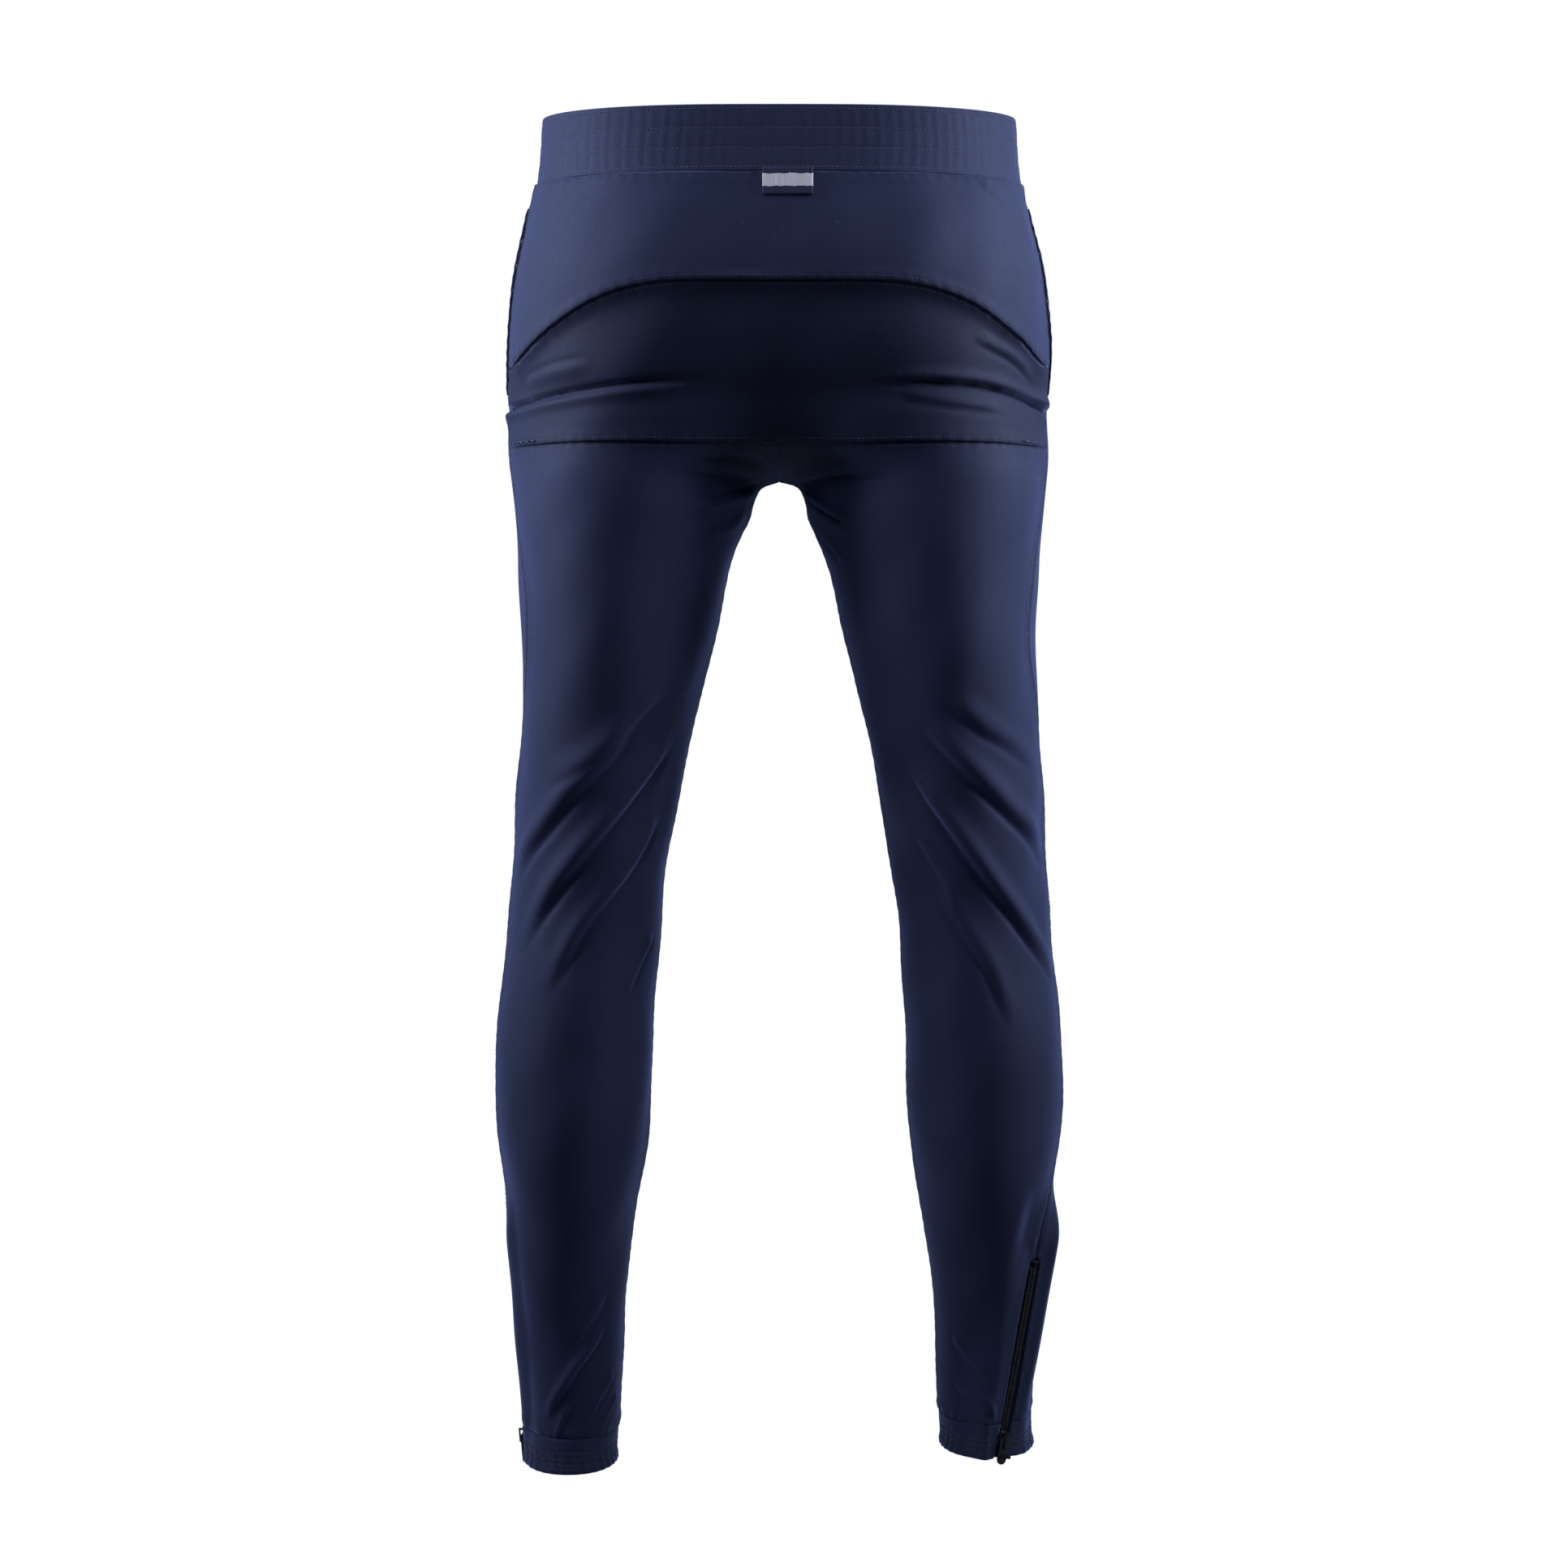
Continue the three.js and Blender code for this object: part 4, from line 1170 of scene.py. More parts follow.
FINISHES = {
    Slot.TROUSER: ClothFinish("stretch_woven", NAVY, DEEP_NAVY),
    # the seat panel's copy of the trouser cloth is darker and has half the sheen: painted shade under the seat
    Slot.SEAT: ClothFinish("stretch_woven_seat", (0.0080, 0.0108, 0.0310), (0.0048, 0.0062, 0.0180), sheen=0.45),
    Slot.HEM: ClothFinish("stretch_woven_hem", (0.0125, 0.0165, 0.0460), (0.0070, 0.0092, 0.0260)),
    Slot.ELASTIC: ClothFinish("ribbed_elastic", (0.011, 0.013, 0.027), (0.006, 0.007, 0.014), rib=0.0016, sheen=0.2),
    Slot.LINING: ClothFinish("fine_knit", (0.020, 0.024, 0.048), (0.012, 0.014, 0.030), pitch=0.0009, sheen=0.3),
    Slot.TAB: ClothFinish(
        "striped_woven_tape",
        (0.0130, 0.0160, 0.0380),
        (0.0080, 0.0100, 0.0240),
        pitch=0.0006,
        sheen=0.2,
        stripe=Stripe(-0.0570, 0.0047, (0.44, 0.45, 0.56)),
    ),
    Slot.ZIP_TAPE: ClothFinish(
        "herringbone_tape", (0.0060, 0.0075, 0.0170), (0.0035, 0.0042, 0.009), pitch=0.0008, sheen=0.15, rib=0.0024
    ),
    Slot.ZIP_COIL: HardFinish("nylon_coil", (0.0045, 0.0055, 0.011), (0.010, 0.011, 0.020), 0.5),
    Slot.METAL: HardFinish("dark_enamel", (0.013, 0.015, 0.028), (0.10, 0.10, 0.11), 0.34, metallic=0.55, coat=0.3),
    Slot.RUBBER: HardFinish("soft_rubber", (0.010, 0.012, 0.022), (0.02, 0.022, 0.034), 0.62, bump=0.3),
}
THREAD = HardFinish("navy_thread", (0.016, 0.021, 0.058), (0.022, 0.028, 0.075), 0.72, grain=2600.0, sheen=0.3)


class Wardrobe:
    """The finished materials, one for each slot and one for the sewing thread."""

    def __init__(self) -> None:
        """Builds each material."""
        self.of = {slot: finish.material() for slot, finish in FINISHES.items()}
        self.thread = THREAD.material()

    def dress(self, piece: bpy.types.Object, slot: Slot, thread: bool = False) -> None:
        """Puts a finish on a piece: the one for its slot, or the sewing thread's.

        Args:
            piece: The piece.
            slot: The record's slot that its finish stands for.
            thread: Whether the piece is sewing thread.
        """
        piece.data.materials.clear()
        piece.data.materials.append(self.thread if thread else self.of[slot])


# ---- the bench


class Bench:
    """Modelling by operators, as by hand."""

    @staticmethod
    def clear() -> None:
        """Leaves nothing selected."""
        bpy.ops.object.select_all(action="DESELECT")

    @staticmethod
    def take(piece: bpy.types.Object) -> None:
        """Selects one piece alone and makes it active.

        Args:
            piece: The piece.
        """
        Bench.clear()
        piece.select_set(True)
        bpy.context.view_layer.objects.active = piece

    @staticmethod
    def finish(piece: bpy.types.Object, kind: str, **settings: object) -> None:
        """Adds a modifier to a piece and applies it.

        Args:
            piece: The piece.
            kind: The modifier's type.
            settings: The modifier's properties.
        """
        Bench.take(piece)
        modifier = piece.modifiers.new(kind.title(), kind)
        for name, value in settings.items():
            setattr(modifier, name, value)
        bpy.ops.object.modifier_apply(modifier=modifier.name)

    @staticmethod
    def pick(piece: bpy.types.Object, wanted: Callable[[bpy.types.MeshPolygon], bool]) -> None:
        """Selects the faces of a piece that pass a test, in edit mode with faces on.

        Args:
            piece: The active piece, in edit mode.
            wanted: Says whether a face is taken.
        """
        bpy.ops.object.mode_set(mode="OBJECT")
        for part in (piece.data.vertices, piece.data.edges, piece.data.polygons):
            part.foreach_set("select", np.zeros(len(part), bool))
        for face in piece.data.polygons:
            face.select = wanted(face)
        bpy.ops.object.mode_set(mode="EDIT")
        bpy.ops.mesh.select_mode(type="FACE")

    @staticmethod
    def block(name: str, low: tuple[float, ...], high: tuple[float, ...], bevel: float = 0.0) -> bpy.types.Object:
        """A block between two corners, with rounded edges.

        Args:
            name: The piece's name.
            low: Its lowest corner.
            high: Its highest corner.
            bevel: The radius of its edges.

        Returns:
            The block.
        """
        Bench.clear()
        middle = tuple((a + b) / 2 for a, b in zip(low, high))
        size = tuple(b - a for a, b in zip(low, high))
        bpy.ops.mesh.primitive_cube_add(size=1.0, location=middle, scale=size)
        piece = bpy.context.object
        piece.name = name
        bpy.ops.object.transform_apply(location=True, rotation=True, scale=True)
        if bevel:
            Bench.finish(piece, "BEVEL", width=bevel, segments=3, limit_method="ANGLE")
        return piece

    @staticmethod
    def joined(name: str, pieces: list[bpy.types.Object]) -> bpy.types.Object:
        """Joins pieces into one.

        Args:
            name: The name of the whole.
            pieces: The pieces.

        Returns:
            The whole.
        """
        Bench.take(pieces[0])
        for piece in pieces:
            piece.select_set(True)
        bpy.ops.object.join()
        pieces[0].name = name
        return pieces[0]

    @staticmethod
    def seat(piece: bpy.types.Object, place: Matrix) -> None:
        """Carries a piece's mesh to its place and shades it smooth across shallow angles.

        Args:
            piece: The piece.
            place: Its place and turn.
        """
        Bench.take(piece)
        piece.matrix_world = place
        bpy.ops.object.transform_apply(location=True, rotation=True, scale=True)
        bpy.ops.object.shade_smooth_by_angle(angle=math.radians(40))


def grid_piece(name: str, points: Array, run: Array, tone: Array, outward: Array) -> bpy.types.Object:
    """A smooth sheet through a grid of points, facing outwards.

    Args:
        name: The piece's name.
        points: Its points, by row and column.
        run: The place of each point on the flat cloth.
        tone: How much painted shade darkens each point, as in creases and at the bottom of a seam.
        outward: The outward direction at each point.

    Returns:
        The sheet.
    """
    rows, columns = points.shape[:2]
    index = np.arange(rows * columns).reshape(rows, columns)
    corners = (index[:-1, :-1], index[1:, :-1], index[1:, 1:], index[:-1, 1:])
    quads = np.stack(corners, axis=-1).reshape(-1, 4)
    down = points[1:, :-1] - points[:-1, :-1]
    right = points[:-1, 1:] - points[:-1, :-1]
    if (np.cross(down, right) * outward[:-1, :-1]).sum() < 0:
        quads = quads[:, ::-1]
    mesh = bpy.data.meshes.new(name)
    mesh.vertices.add(index.size)
    mesh.vertices.foreach_set("co", points.astype(np.float32).ravel())
    mesh.loops.add(quads.size)
    mesh.loops.foreach_set("vertex_index", quads.astype(np.int32).ravel())
    mesh.polygons.add(len(quads))
    mesh.polygons.foreach_set("loop_start", np.arange(0, quads.size, 4, dtype=np.int32))
    mesh.polygons.foreach_set("use_smooth", np.ones(len(quads), bool))
    mesh.update(calc_edges=True)
    mesh.validate()
    flat = np.concatenate([run, np.zeros((*run.shape[:2], 1))], axis=2).astype(np.float32)
    mesh.attributes.new("run", "FLOAT_VECTOR", "POINT").data.foreach_set("vector", flat.ravel())
    # painted shade, stored as a point attribute for the cloth material
    mesh.attributes.new("tone", "FLOAT", "POINT").data.foreach_set("value", tone.astype(np.float32).ravel())
    piece = bpy.data.objects.new(name, mesh)
    bpy.context.scene.collection.objects.link(piece)
    return piece


def flat_size(points: Array) -> tuple[float, float, float]:
    """The width, length and area of a grid of points laid flat.

    Args:
        points: The points, by row and column.

    Returns:
        The width, the length and the area.
    """
    across = np.linalg.norm(np.diff(points, axis=1), axis=2)
    down = np.linalg.norm(np.diff(points, axis=0), axis=2)
    width, length = across.sum(axis=1).max(), down.sum(axis=0).max()
    area = (0.5 * (across[:-1] + across[1:]) * 0.5 * (down[:, :-1] + down[:, 1:])).sum()
    width, length = max(float(width), NARROWEST), max(float(length), NARROWEST)
    return width, length, min(float(area), width * length)


# ---- cloth


class EdgeStep(NamedTuple):
    """One step of a sewn edge: how far in from the seam, and how deep it is turned under."""

    inset: float
    depth: float


SEWN_EDGE = (
    EdgeStep(0.00006, 0.0028),
    EdgeStep(0.00006, 0.0016),
    EdgeStep(0.00010, 0.00075),
    EdgeStep(0.00040, 0.00030),
    EdgeStep(0.00100, 0.00008),
    EdgeStep(0.00190, 0.0),
)

# how many steps of a sewn edge lie exactly on the centre line, where a panel of one side meets its mirror
CREASED = 3


@dataclass
class Tailor:
    """Cuts the pieces of cloth, lays them on the skin and sews rows of stitches over them."""

    drape: Drape
    wardrobe: Wardrobe
    spacing: float = 0.0026
    quick_spacing: float = 0.0045
    thickness: float = 0.0009
    stitch_length: float = 0.0026
    stitch_gap: float = 0.0009
    stitch_width: float = 0.00050

    def __post_init__(self) -> None:
        """Chooses the spacing and makes the one stitch that every row repeats."""
        self.skin = self.drape.plan.skin
        self.plan = self.drape.plan
        self.step = self.spacing
        self._stitch = self._one_stitch()

    def _one_stitch(self) -> tuple[Array, Array]:
        """A rounded stitch of unit length along X: its corners and its triangles."""
        Bench.clear()
        bpy.ops.mesh.primitive_uv_sphere_add(segments=6, ring_count=4, radius=0.5)
        ball = bpy.context.object
        bpy.ops.object.mode_set(mode="EDIT")
        bpy.ops.mesh.select_all(action="SELECT")
        bpy.ops.mesh.quads_convert_to_tris()
        bpy.ops.object.mode_set(mode="OBJECT")
        corners = np.array([v.co for v in ball.data.vertices])[:, [2, 0, 1]]
        triangles = np.array([list(f.vertices) for f in ball.data.polygons])
        bpy.data.objects.remove(ball)
        return corners, triangles

    def surface(self, side: Array, share: Array, height: Array) -> tuple[Array, Array]:
        """Points on the draped cloth and the skin's normals there."""
        return self.skin.point(side, share, height, -self.drape.relief(side, share, height))

    def cloth(
        self,
        name: str,
        side: Array,
        share: Array,
        height: Array,
        depth: Array,
        slot: Slot,
        replaces: tuple[str, ...],
        thickness: float | None = None,
        drape: float = 1.0,
        level: bool = False,
        tone: Array | float = 0.0,
    ) -> bpy.types.Object:
        """Makes one piece of cloth from a grid of places on the skin.

        Args:
            name: The piece's name.
            side: -1 or 1 at each place.
            share: The share of the way round.
            height: The height.
            depth: How far under the draped surface each place lies.
            slot: The piece's slot.
            replaces: The frame's nodes that it stands for.
            thickness: The cloth's thickness.
            drape: How much of the drape's relief it takes.
            level: Whether depth is measured level.
            tone: Painted shade added to the cloth's colour, on top of the shade painted into its creases, turned edges
                and seams.

        Returns:
            The piece.
        """
        side, share, height, depth = np.broadcast_arrays(side, share, height, depth)
        side = side.astype(float)
        relief = self.drape.relief(side, share, height) * drape
        calm, normal = self.skin.point(side, share, height)
        if level:
            normal = unit(normal * np.array([1.0, 1.0, 0.0]))
        points = calm + normal * (relief - depth)[..., None]
        run = np.stack([side * share * self.skin.loop_length(height), height + depth], axis=-1)
        # painted shade: darker where the cloth lies under the surface or is turned under, in the valleys of its folds
        # and along its seams
        crease_and_seam_shade = np.clip(depth / 0.0012, 0.0, 1.0) * 0.6
        crease_and_seam_shade = crease_and_seam_shade + np.clip(-relief / 0.005, 0.0, 1.0) * 0.6
        gap = np.minimum(*self.drape.seam_distances(side, share, height))
        crease_and_seam_shade = crease_and_seam_shade + 0.8 * np.exp(-((gap / 0.0020) ** 2))
        tone = np.clip(np.broadcast_to(tone, height.shape) + crease_and_seam_shade * (drape > 0), 0.0, 1.0)
        piece = grid_piece(name, points, run, tone, normal)
        Bench.finish(piece, "SOLIDIFY", thickness=thickness or self.thickness, offset=-1.0)
        self.wardrobe.dress(piece, slot)
        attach(piece, Body.GARMENT.of())
        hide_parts(*replaces)
        width, length, area = flat_size(calm - normal * depth[..., None])
        log.info("%s: cut %.3f x %.3f m, %.4f m2, %d faces", name, width, length, area, len(piece.data.polygons))
        return piece

    def _ladder(self, width: float) -> tuple[Array, Array, Array]:
        """The columns of a patch: fixed distances, shares of the width, and depths.

        Args:
            width: The patch's greatest width.

        Returns:
            Three lists, one value for each column. A column lies at its fixed distance plus its share of the width.
        """
        count = max(4, round(width / self.step))
        ways = np.arange(1, count) / count
        insets = [e.inset for e in SEWN_EDGE]
        turned = [e.depth for e in SEWN_EDGE]
        fixed = insets + list(insets[-1] * (1 - ways) - insets[-1] * ways) + [-inset for inset in reversed(insets)]
        shares = [0.0] * len(insets) + list(ways) + [1.0] * len(insets)
        depths = turned + [0.0] * len(ways) + turned[::-1]
        return np.array(fixed), np.array(shares), np.array(depths)

    def patch(
        self,
        name: str,
        start: Edge,
        end: Edge,
        levels: list[Callable[[Array, Array], Array]],
        slot: Slot,
        side: Side | None = None,
    ) -> bpy.types.Object:
        """Makes a panel between two upright edges and a first and a last level edge.

        Args:
            name: The frame's node that it stands for. The piece has this name with "_cloth" after it.
            start: The share at which it starts, by height. Below 0 is the left side of a panel across the back.
            end: The share at which it ends, by height.
            levels: Its level edges from the top down, by side and share, with its rows spread evenly between them.
            slot: The piece's slot.
            side: The side it lies on, or None across the back.

        Returns:
            The piece.
        """

        def signs(share: Array) -> Array:
            """-1 on the left and 1 on the right."""
            return np.where(share < 0, -1.0, 1.0) if side is None else np.full(share.shape, float(side.value))

        trial = np.array([[0.25]])
        heights = [float(np.squeeze(level(signs(trial), trial))) for level in levels]
        rows = [(0, 0.0, -e.inset, e.depth) for e in SEWN_EDGE]
        for i, (top, bottom) in enumerate(zip(heights, heights[1:])):
            count = max(3, round((top - bottom) / self.step))
            rows += [(i, k / count, 0.0, 0.0) for k in range(1, count + (i < len(heights) - 2))]
        rows += [(len(levels) - 2, 1.0, e.inset, e.depth) for e in reversed(SEWN_EDGE)]
        interval, way, shift, row_depth = (np.array(column) for column in zip(*rows))
        probe = np.linspace(heights[0], heights[-1], 40)
        widest = float(((end(probe) - start(probe)) * self.skin.loop_length(probe)).max())
        fixed, part, column_depth = self._ladder(widest)
        if side is not None:
            fixed[:CREASED] *= float(start(probe).max() > 0.0)
            fixed[-CREASED:] *= float(end(probe).min() < 1.0)
        height = np.repeat(np.interp(interval + way, np.arange(len(heights)), heights)[:, None], len(fixed), axis=1)
        for _ in range(8):
            loop = self.skin.loop_length(height)
            share = start(height) + fixed / loop + part * (end(height) - start(height))
            edges = np.stack([level(signs(share), np.abs(share)) for level in levels])
            row = np.arange(len(rows))
            upper, lower = edges[interval, row], edges[interval + 1, row]
            height = upper * (1 - way[:, None]) + lower * way[:, None] + shift[:, None]
        depth = np.maximum(row_depth[:, None], column_depth[None, :])
        return self.cloth(f"{name}_cloth", signs(share), np.abs(share), height, depth, slot, (name,))

    def sew(self, name: str, points: Array, normals: Array, zigzag: float = 0.0, pitch: float | None = None) -> None:
        """Sews a row of stitches along a run of points.

        Args:
            name: The name of the row.
            points: The run, on the surface.
            normals: The outward directions along it.
            zigzag: How far the needle swings to either side.
            pitch: The distance from one stitch to the next.
        """
        run = np.concatenate([[0.0], np.cumsum(np.linalg.norm(np.diff(points, axis=0), axis=1))])
        pitch = pitch or self.stitch_length + self.stitch_gap
        count = max(2, int(run[-1] / pitch))
        places = np.linspace(0.0, run[-1], count + 1)
        at = np.stack([np.interp(places, run, points[:, k]) for k in range(3)], axis=1)
        out = unit(np.stack([np.interp(places, run, normals[:, k]) for k in range(3)], axis=1))
        if zigzag:
            sideways = unit(np.cross(np.gradient(at, axis=0), out))
            at = at + sideways * (zigzag * np.where(np.arange(count + 1) % 2, 1.0, -1.0))[:, None]
        step = at[1:] - at[:-1]
        along = unit(step)
        up = unit(out[1:] + out[:-1])
        across = unit(np.cross(up, along))
        up = np.cross(along, across)
        length = np.linalg.norm(step, axis=1) * (0.98 if zigzag else self.stitch_length / pitch)
        middle = (at[1:] + at[:-1]) / 2 + up * self.stitch_width * 0.15
        corners, triangles = self._stitch
        shape = (
            corners[None, :, :1] * along[:, None, :] * length[:, None, None]
            + corners[None, :, 1:2] * across[:, None, :] * self.stitch_width
            + corners[None, :, 2:] * up[:, None, :] * self.stitch_width
        )
        vertices = (middle[:, None, :] + shape).reshape(-1, 3)
        faces = (triangles[None] + np.arange(count)[:, None, None] * len(corners)).reshape(-1, 3)
        mesh = bpy.data.meshes.new(name)
        mesh.from_pydata(vertices.tolist(), [], faces.tolist())
        mesh.shade_smooth()
        piece = bpy.data.objects.new(name, mesh)
        bpy.context.scene.collection.objects.link(piece)
        self.wardrobe.dress(piece, Slot.TROUSER, thread=True)
        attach(piece, Body.GARMENT.of())
        log.info("%s: %d stitches", name, count)

    def sew_on_skin(self, name: str, side: Array, share: Array, height: Array, zigzag: float = 0.0) -> None:
        """Sews a row of stitches along places on the skin.

        Args:
            name: The name of the row.
            side: -1 on the left, 1 on the right.
            share: The share of the way round.
            height: The height.
            zigzag: How far the needle swings to either side.
        """
        side, share, height = np.broadcast_arrays(side, share, height)
        points, normals = self.surface(side.astype(float), share, height)
        self.sew(name, points, normals, zigzag, 0.0021 if zigzag else None)

    def row_round(self, name: str, height: float, out: float = 0.0) -> None:
        """Sews a level row of stitches all the way round the waist.

        Args:
            name: The name of the row.
            height: Its height.
            out: How far it stands off the skin.
        """
        signed = np.linspace(-1.0, 1.0, 700)
        points, normals = self.skin.point(np.where(signed < 0, -1.0, 1.0), np.abs(signed), np.full(700, height), -out)
        self.sew(name, points, normals)


# ---- the panels


@dataclass
class Panels:
    """The yoke, the seat, the legs, the side panels and the front panels."""

    tailor: Tailor
    slot_half: float = 0.0049
    slot_round: float = 0.0035
    mouth: float = 0.003
    mouth_top: float = -0.068
    mouth_bottom: float = -0.206
    mouth_ease: float = 0.012

    def _slot(self, side: Side, height: Array) -> Array:
        """Half the width of the opening for the zip, at each height."""
        line = self.tailor.skin.zips[side]
        open_way = 1 - smoothstep(height, line.top_height - self.slot_round, line.top_height + 0.001)
        return self.slot_half * open_way

    def _mouth(self, height: Array) -> Array:
        """How far the side panel stands back from the seam at the pocket's mouth."""
        low = smoothstep(height, self.mouth_bottom, self.mouth_bottom + self.mouth_ease)
        high = 1 - smoothstep(height, self.mouth_top - self.mouth_ease, self.mouth_top)
        return self.mouth * low * high

    def build(self) -> None:
        """Makes every panel."""
        plan, skin = self.tailor.plan, self.tailor.skin
        loop = skin.loop_length

        def waist(side: Array, share: Array) -> Array:
            """The waistband's seam."""
            return np.full(np.shape(share), plan.waist)

        def seat(side: Array, share: Array) -> Array:
            """The straight seam below the seat."""
            return np.full(np.shape(share), plan.seat)

        def arch(side: Array, share: Array) -> Array:
            """The arch under the yoke."""
            return plan.yoke(share)

        def crotch(side: Array, share: Array) -> Array:
            """The level of the crotch."""
            return np.full(np.shape(share), -skin.rise)

        def arch_top(side: Array, share: Array) -> Array:
            """The level at which the legs stand apart."""
            return np.full(np.shape(share), -skin.rise - skin.crotch_round / 2)

        def left_edge(height: Array) -> Array:
            """The left end of a panel across the back."""
            return -plan.back(Side.LEFT.value, height)

        def right_edge(height: Array) -> Array:
            """The right end of a panel across the back."""
            return plan.back(Side.RIGHT.value, height)

        self.tailor.patch("back_yoke", left_edge, right_edge, [waist, arch], Slot.TROUSER)
        self.tailor.patch("seat_panel", left_edge, right_edge, [arch, seat], Slot.SEAT)
        for side in Side:

            def back_end(height: Array, side: Side = side) -> Array:
                """The outer edge of a back leg, drawn back beside the zip."""
                return plan.back(side.value, height) - self._slot(side, height) / loop(height)

            def side_start(height: Array, side: Side = side) -> Array:
                """The back edge of a side panel, drawn back at the zip and the mouth."""
                open_width = self._slot(side, height) + self._mouth(height)
                return plan.back(side.value, height) + open_width / loop(height)

            def front_edge(height: Array, side: Side = side) -> Array:
                """The seam between a side panel and a front panel."""
                return plan.front(side.value, height)

            legs = [crotch, arch_top, plan.leg_end]
            name = side.label
            self.tailor.patch(
                f"back_leg_{name}", lambda h: np.zeros(np.shape(h)), back_end, [seat, *legs], Slot.TROUSER, side
            )
            self.tailor.patch(f"side_panel_{name}", side_start, front_edge, [waist, plan.leg_end], Slot.TROUSER, side)
            self.tailor.patch(
                f"front_panel_{name}", front_edge, lambda h: np.ones(np.shape(h)), [waist, *legs], Slot.TROUSER, side
            )
            log.info("panels of the %s side are hung", side.label)


@dataclass
class Waistband:
    """The gathered outer strip, the elastic and the lining of the waistband, with its rows of stitches."""

    tailor: Tailor
    ripple: float = 0.00012
    ripple_pitch: float = 0.0088
    elastic_depth: float = 0.0012
    elastic_thickness: float = 0.0011
    lining_depth: float = 0.0026
    lining_thickness: float = 0.0006
    rows: tuple[float, ...] = (-0.0035, -0.0180, -0.0330, -0.0468)

    def _ring(self, name: str, profile: list[tuple[float, float]], thickness: float, slot: Slot, ripple: float) -> None:
        """Makes a ring of cloth round the waist.

        Args:
            name: The frame's node that it stands for.
            profile: (height, depth) from one edge to the other.
            thickness: The cloth's thickness.
            slot: Its slot.
            ripple: The height of its gathers.
        """
        tailor = self.tailor
        count = 2 * round(1.05 / (tailor.step * 0.75) / 2)
        signed = np.linspace(-1.0, 1.0, count + 1)[None, :]
        height = np.array([p[0] for p in profile])[:, None]
        depth = np.array([p[1] for p in profile])[:, None]
        run = signed * tailor.skin.loop_length(height)
        turn = 2 * math.pi / self.ripple_pitch
        sway = 0.9 * np.sin(run * 37.0 + 1.0) + 0.7 * np.sin(height * 95.0 + run * 11.0)
        held = 1 - 0.65 * sum(np.exp(-(((height - row) / 0.0016) ** 2)) for row in self.rows)
        edge = smoothstep(-height, 0.0005, 0.004) * smoothstep(height, -0.0500, -0.0470)
        wave = (np.sin(run * turn + sway) + 0.35 * np.sin(run * turn * 1.62 + 2 * sway)) * held * edge
        depth = depth - ripple * wave + 0.0006 * (1 - held) * (ripple > 0)
        # painted shade in the valleys of the gathers
        tone = 0.10 * np.clip(-wave, 0.0, 1.0) * (ripple > 0)
        side = np.where(signed < 0, -1.0, 1.0)
        tailor.cloth(
            f"{name}_cloth", side, np.abs(signed), height, depth, slot, (name,), thickness, drape=0.0, tone=tone
        )

    def build(self) -> None:
        """Makes the three rings and sews them through."""
        outer = [(-0.0095, 0.0036), (-0.0050, 0.0036), (-0.0022, 0.0034), (-0.0009, 0.0029), (-0.0002, 0.0021)]
        outer += [(0.0, 0.0013), (-0.0003, 0.0006), (-0.0010, 0.0002), (-0.0020, 0.0)]
        outer += [(z, 0.0) for z in np.linspace(-0.0036, -0.0478, 22)]
        outer += [(-0.0490, 0.0001), (-0.0496, 0.0004), (-0.0498, 0.0010), (-0.0498, 0.0022)]
        self._ring("waistband_outer", outer, 0.0009, Slot.TROUSER, self.ripple)
        elastic = [(z, self.elastic_depth) for z in np.linspace(-0.0030, -0.0480, 24)]
        self._ring("waistband_elastic", elastic, self.elastic_thickness, Slot.ELASTIC, 0.0)
        lining = [(z, self.lining_depth) for z in np.linspace(-0.0045, -0.0496, 24)]
        self._ring("waistband_lining", lining, self.lining_thickness, Slot.LINING, 0.0)
        for index, row in enumerate(self.rows):
            self.tailor.row_round(f"waistband_stitches_{index}", row, -0.0002)


@dataclass
class HangingTab:
    """The blank woven tab below the waistband: a strip folded into a loop."""

    tailor: Tailor
    centre: float = 0.008
    width: float = 0.033
    top: float = -0.0492
    height: float = 0.0187
    foot_depth: float = -0.0006
    thickness: float = 0.0007
    hollow: float = 0.0011

    def build(self) -> None:
        """Makes the loop."""
        low, out = self.top - self.height, self.hollow + 2 * self.thickness
        bend = out / 2
        profile = [(z, out) for z in np.linspace(self.top + 0.0015, low + bend, 16)]
        profile += [(low + bend - bend * math.sin(a), bend + bend * math.cos(a)) for a in np.linspace(0.3, 2.84, 8)]
        profile += [(z, 0.0) for z in np.linspace(low + bend, self.top + 0.0015, 16)]
        height, off = (np.array(column)[:, None] for column in zip(*profile))
        across = self.centre + np.linspace(-0.5, 0.5, 28)[None, :] * self.width
        share = across / self.tailor.skin.loop_length(height)
        bow = 0.0007 * np.sin((across - self.centre) / self.width * math.pi * 1.3 + 0.5) * (off / out)
        side = np.where(share < 0, -1.0, 1.0)
        depth = self.foot_depth - off - bow
        self.tailor.cloth(
            "hanging_tab_loop",
            side,
            np.abs(share),
            height,
            depth,
            Slot.TAB,
            ("hanging_tab",),
            self.thickness,
            drape=0.0,
            level=True,
        )


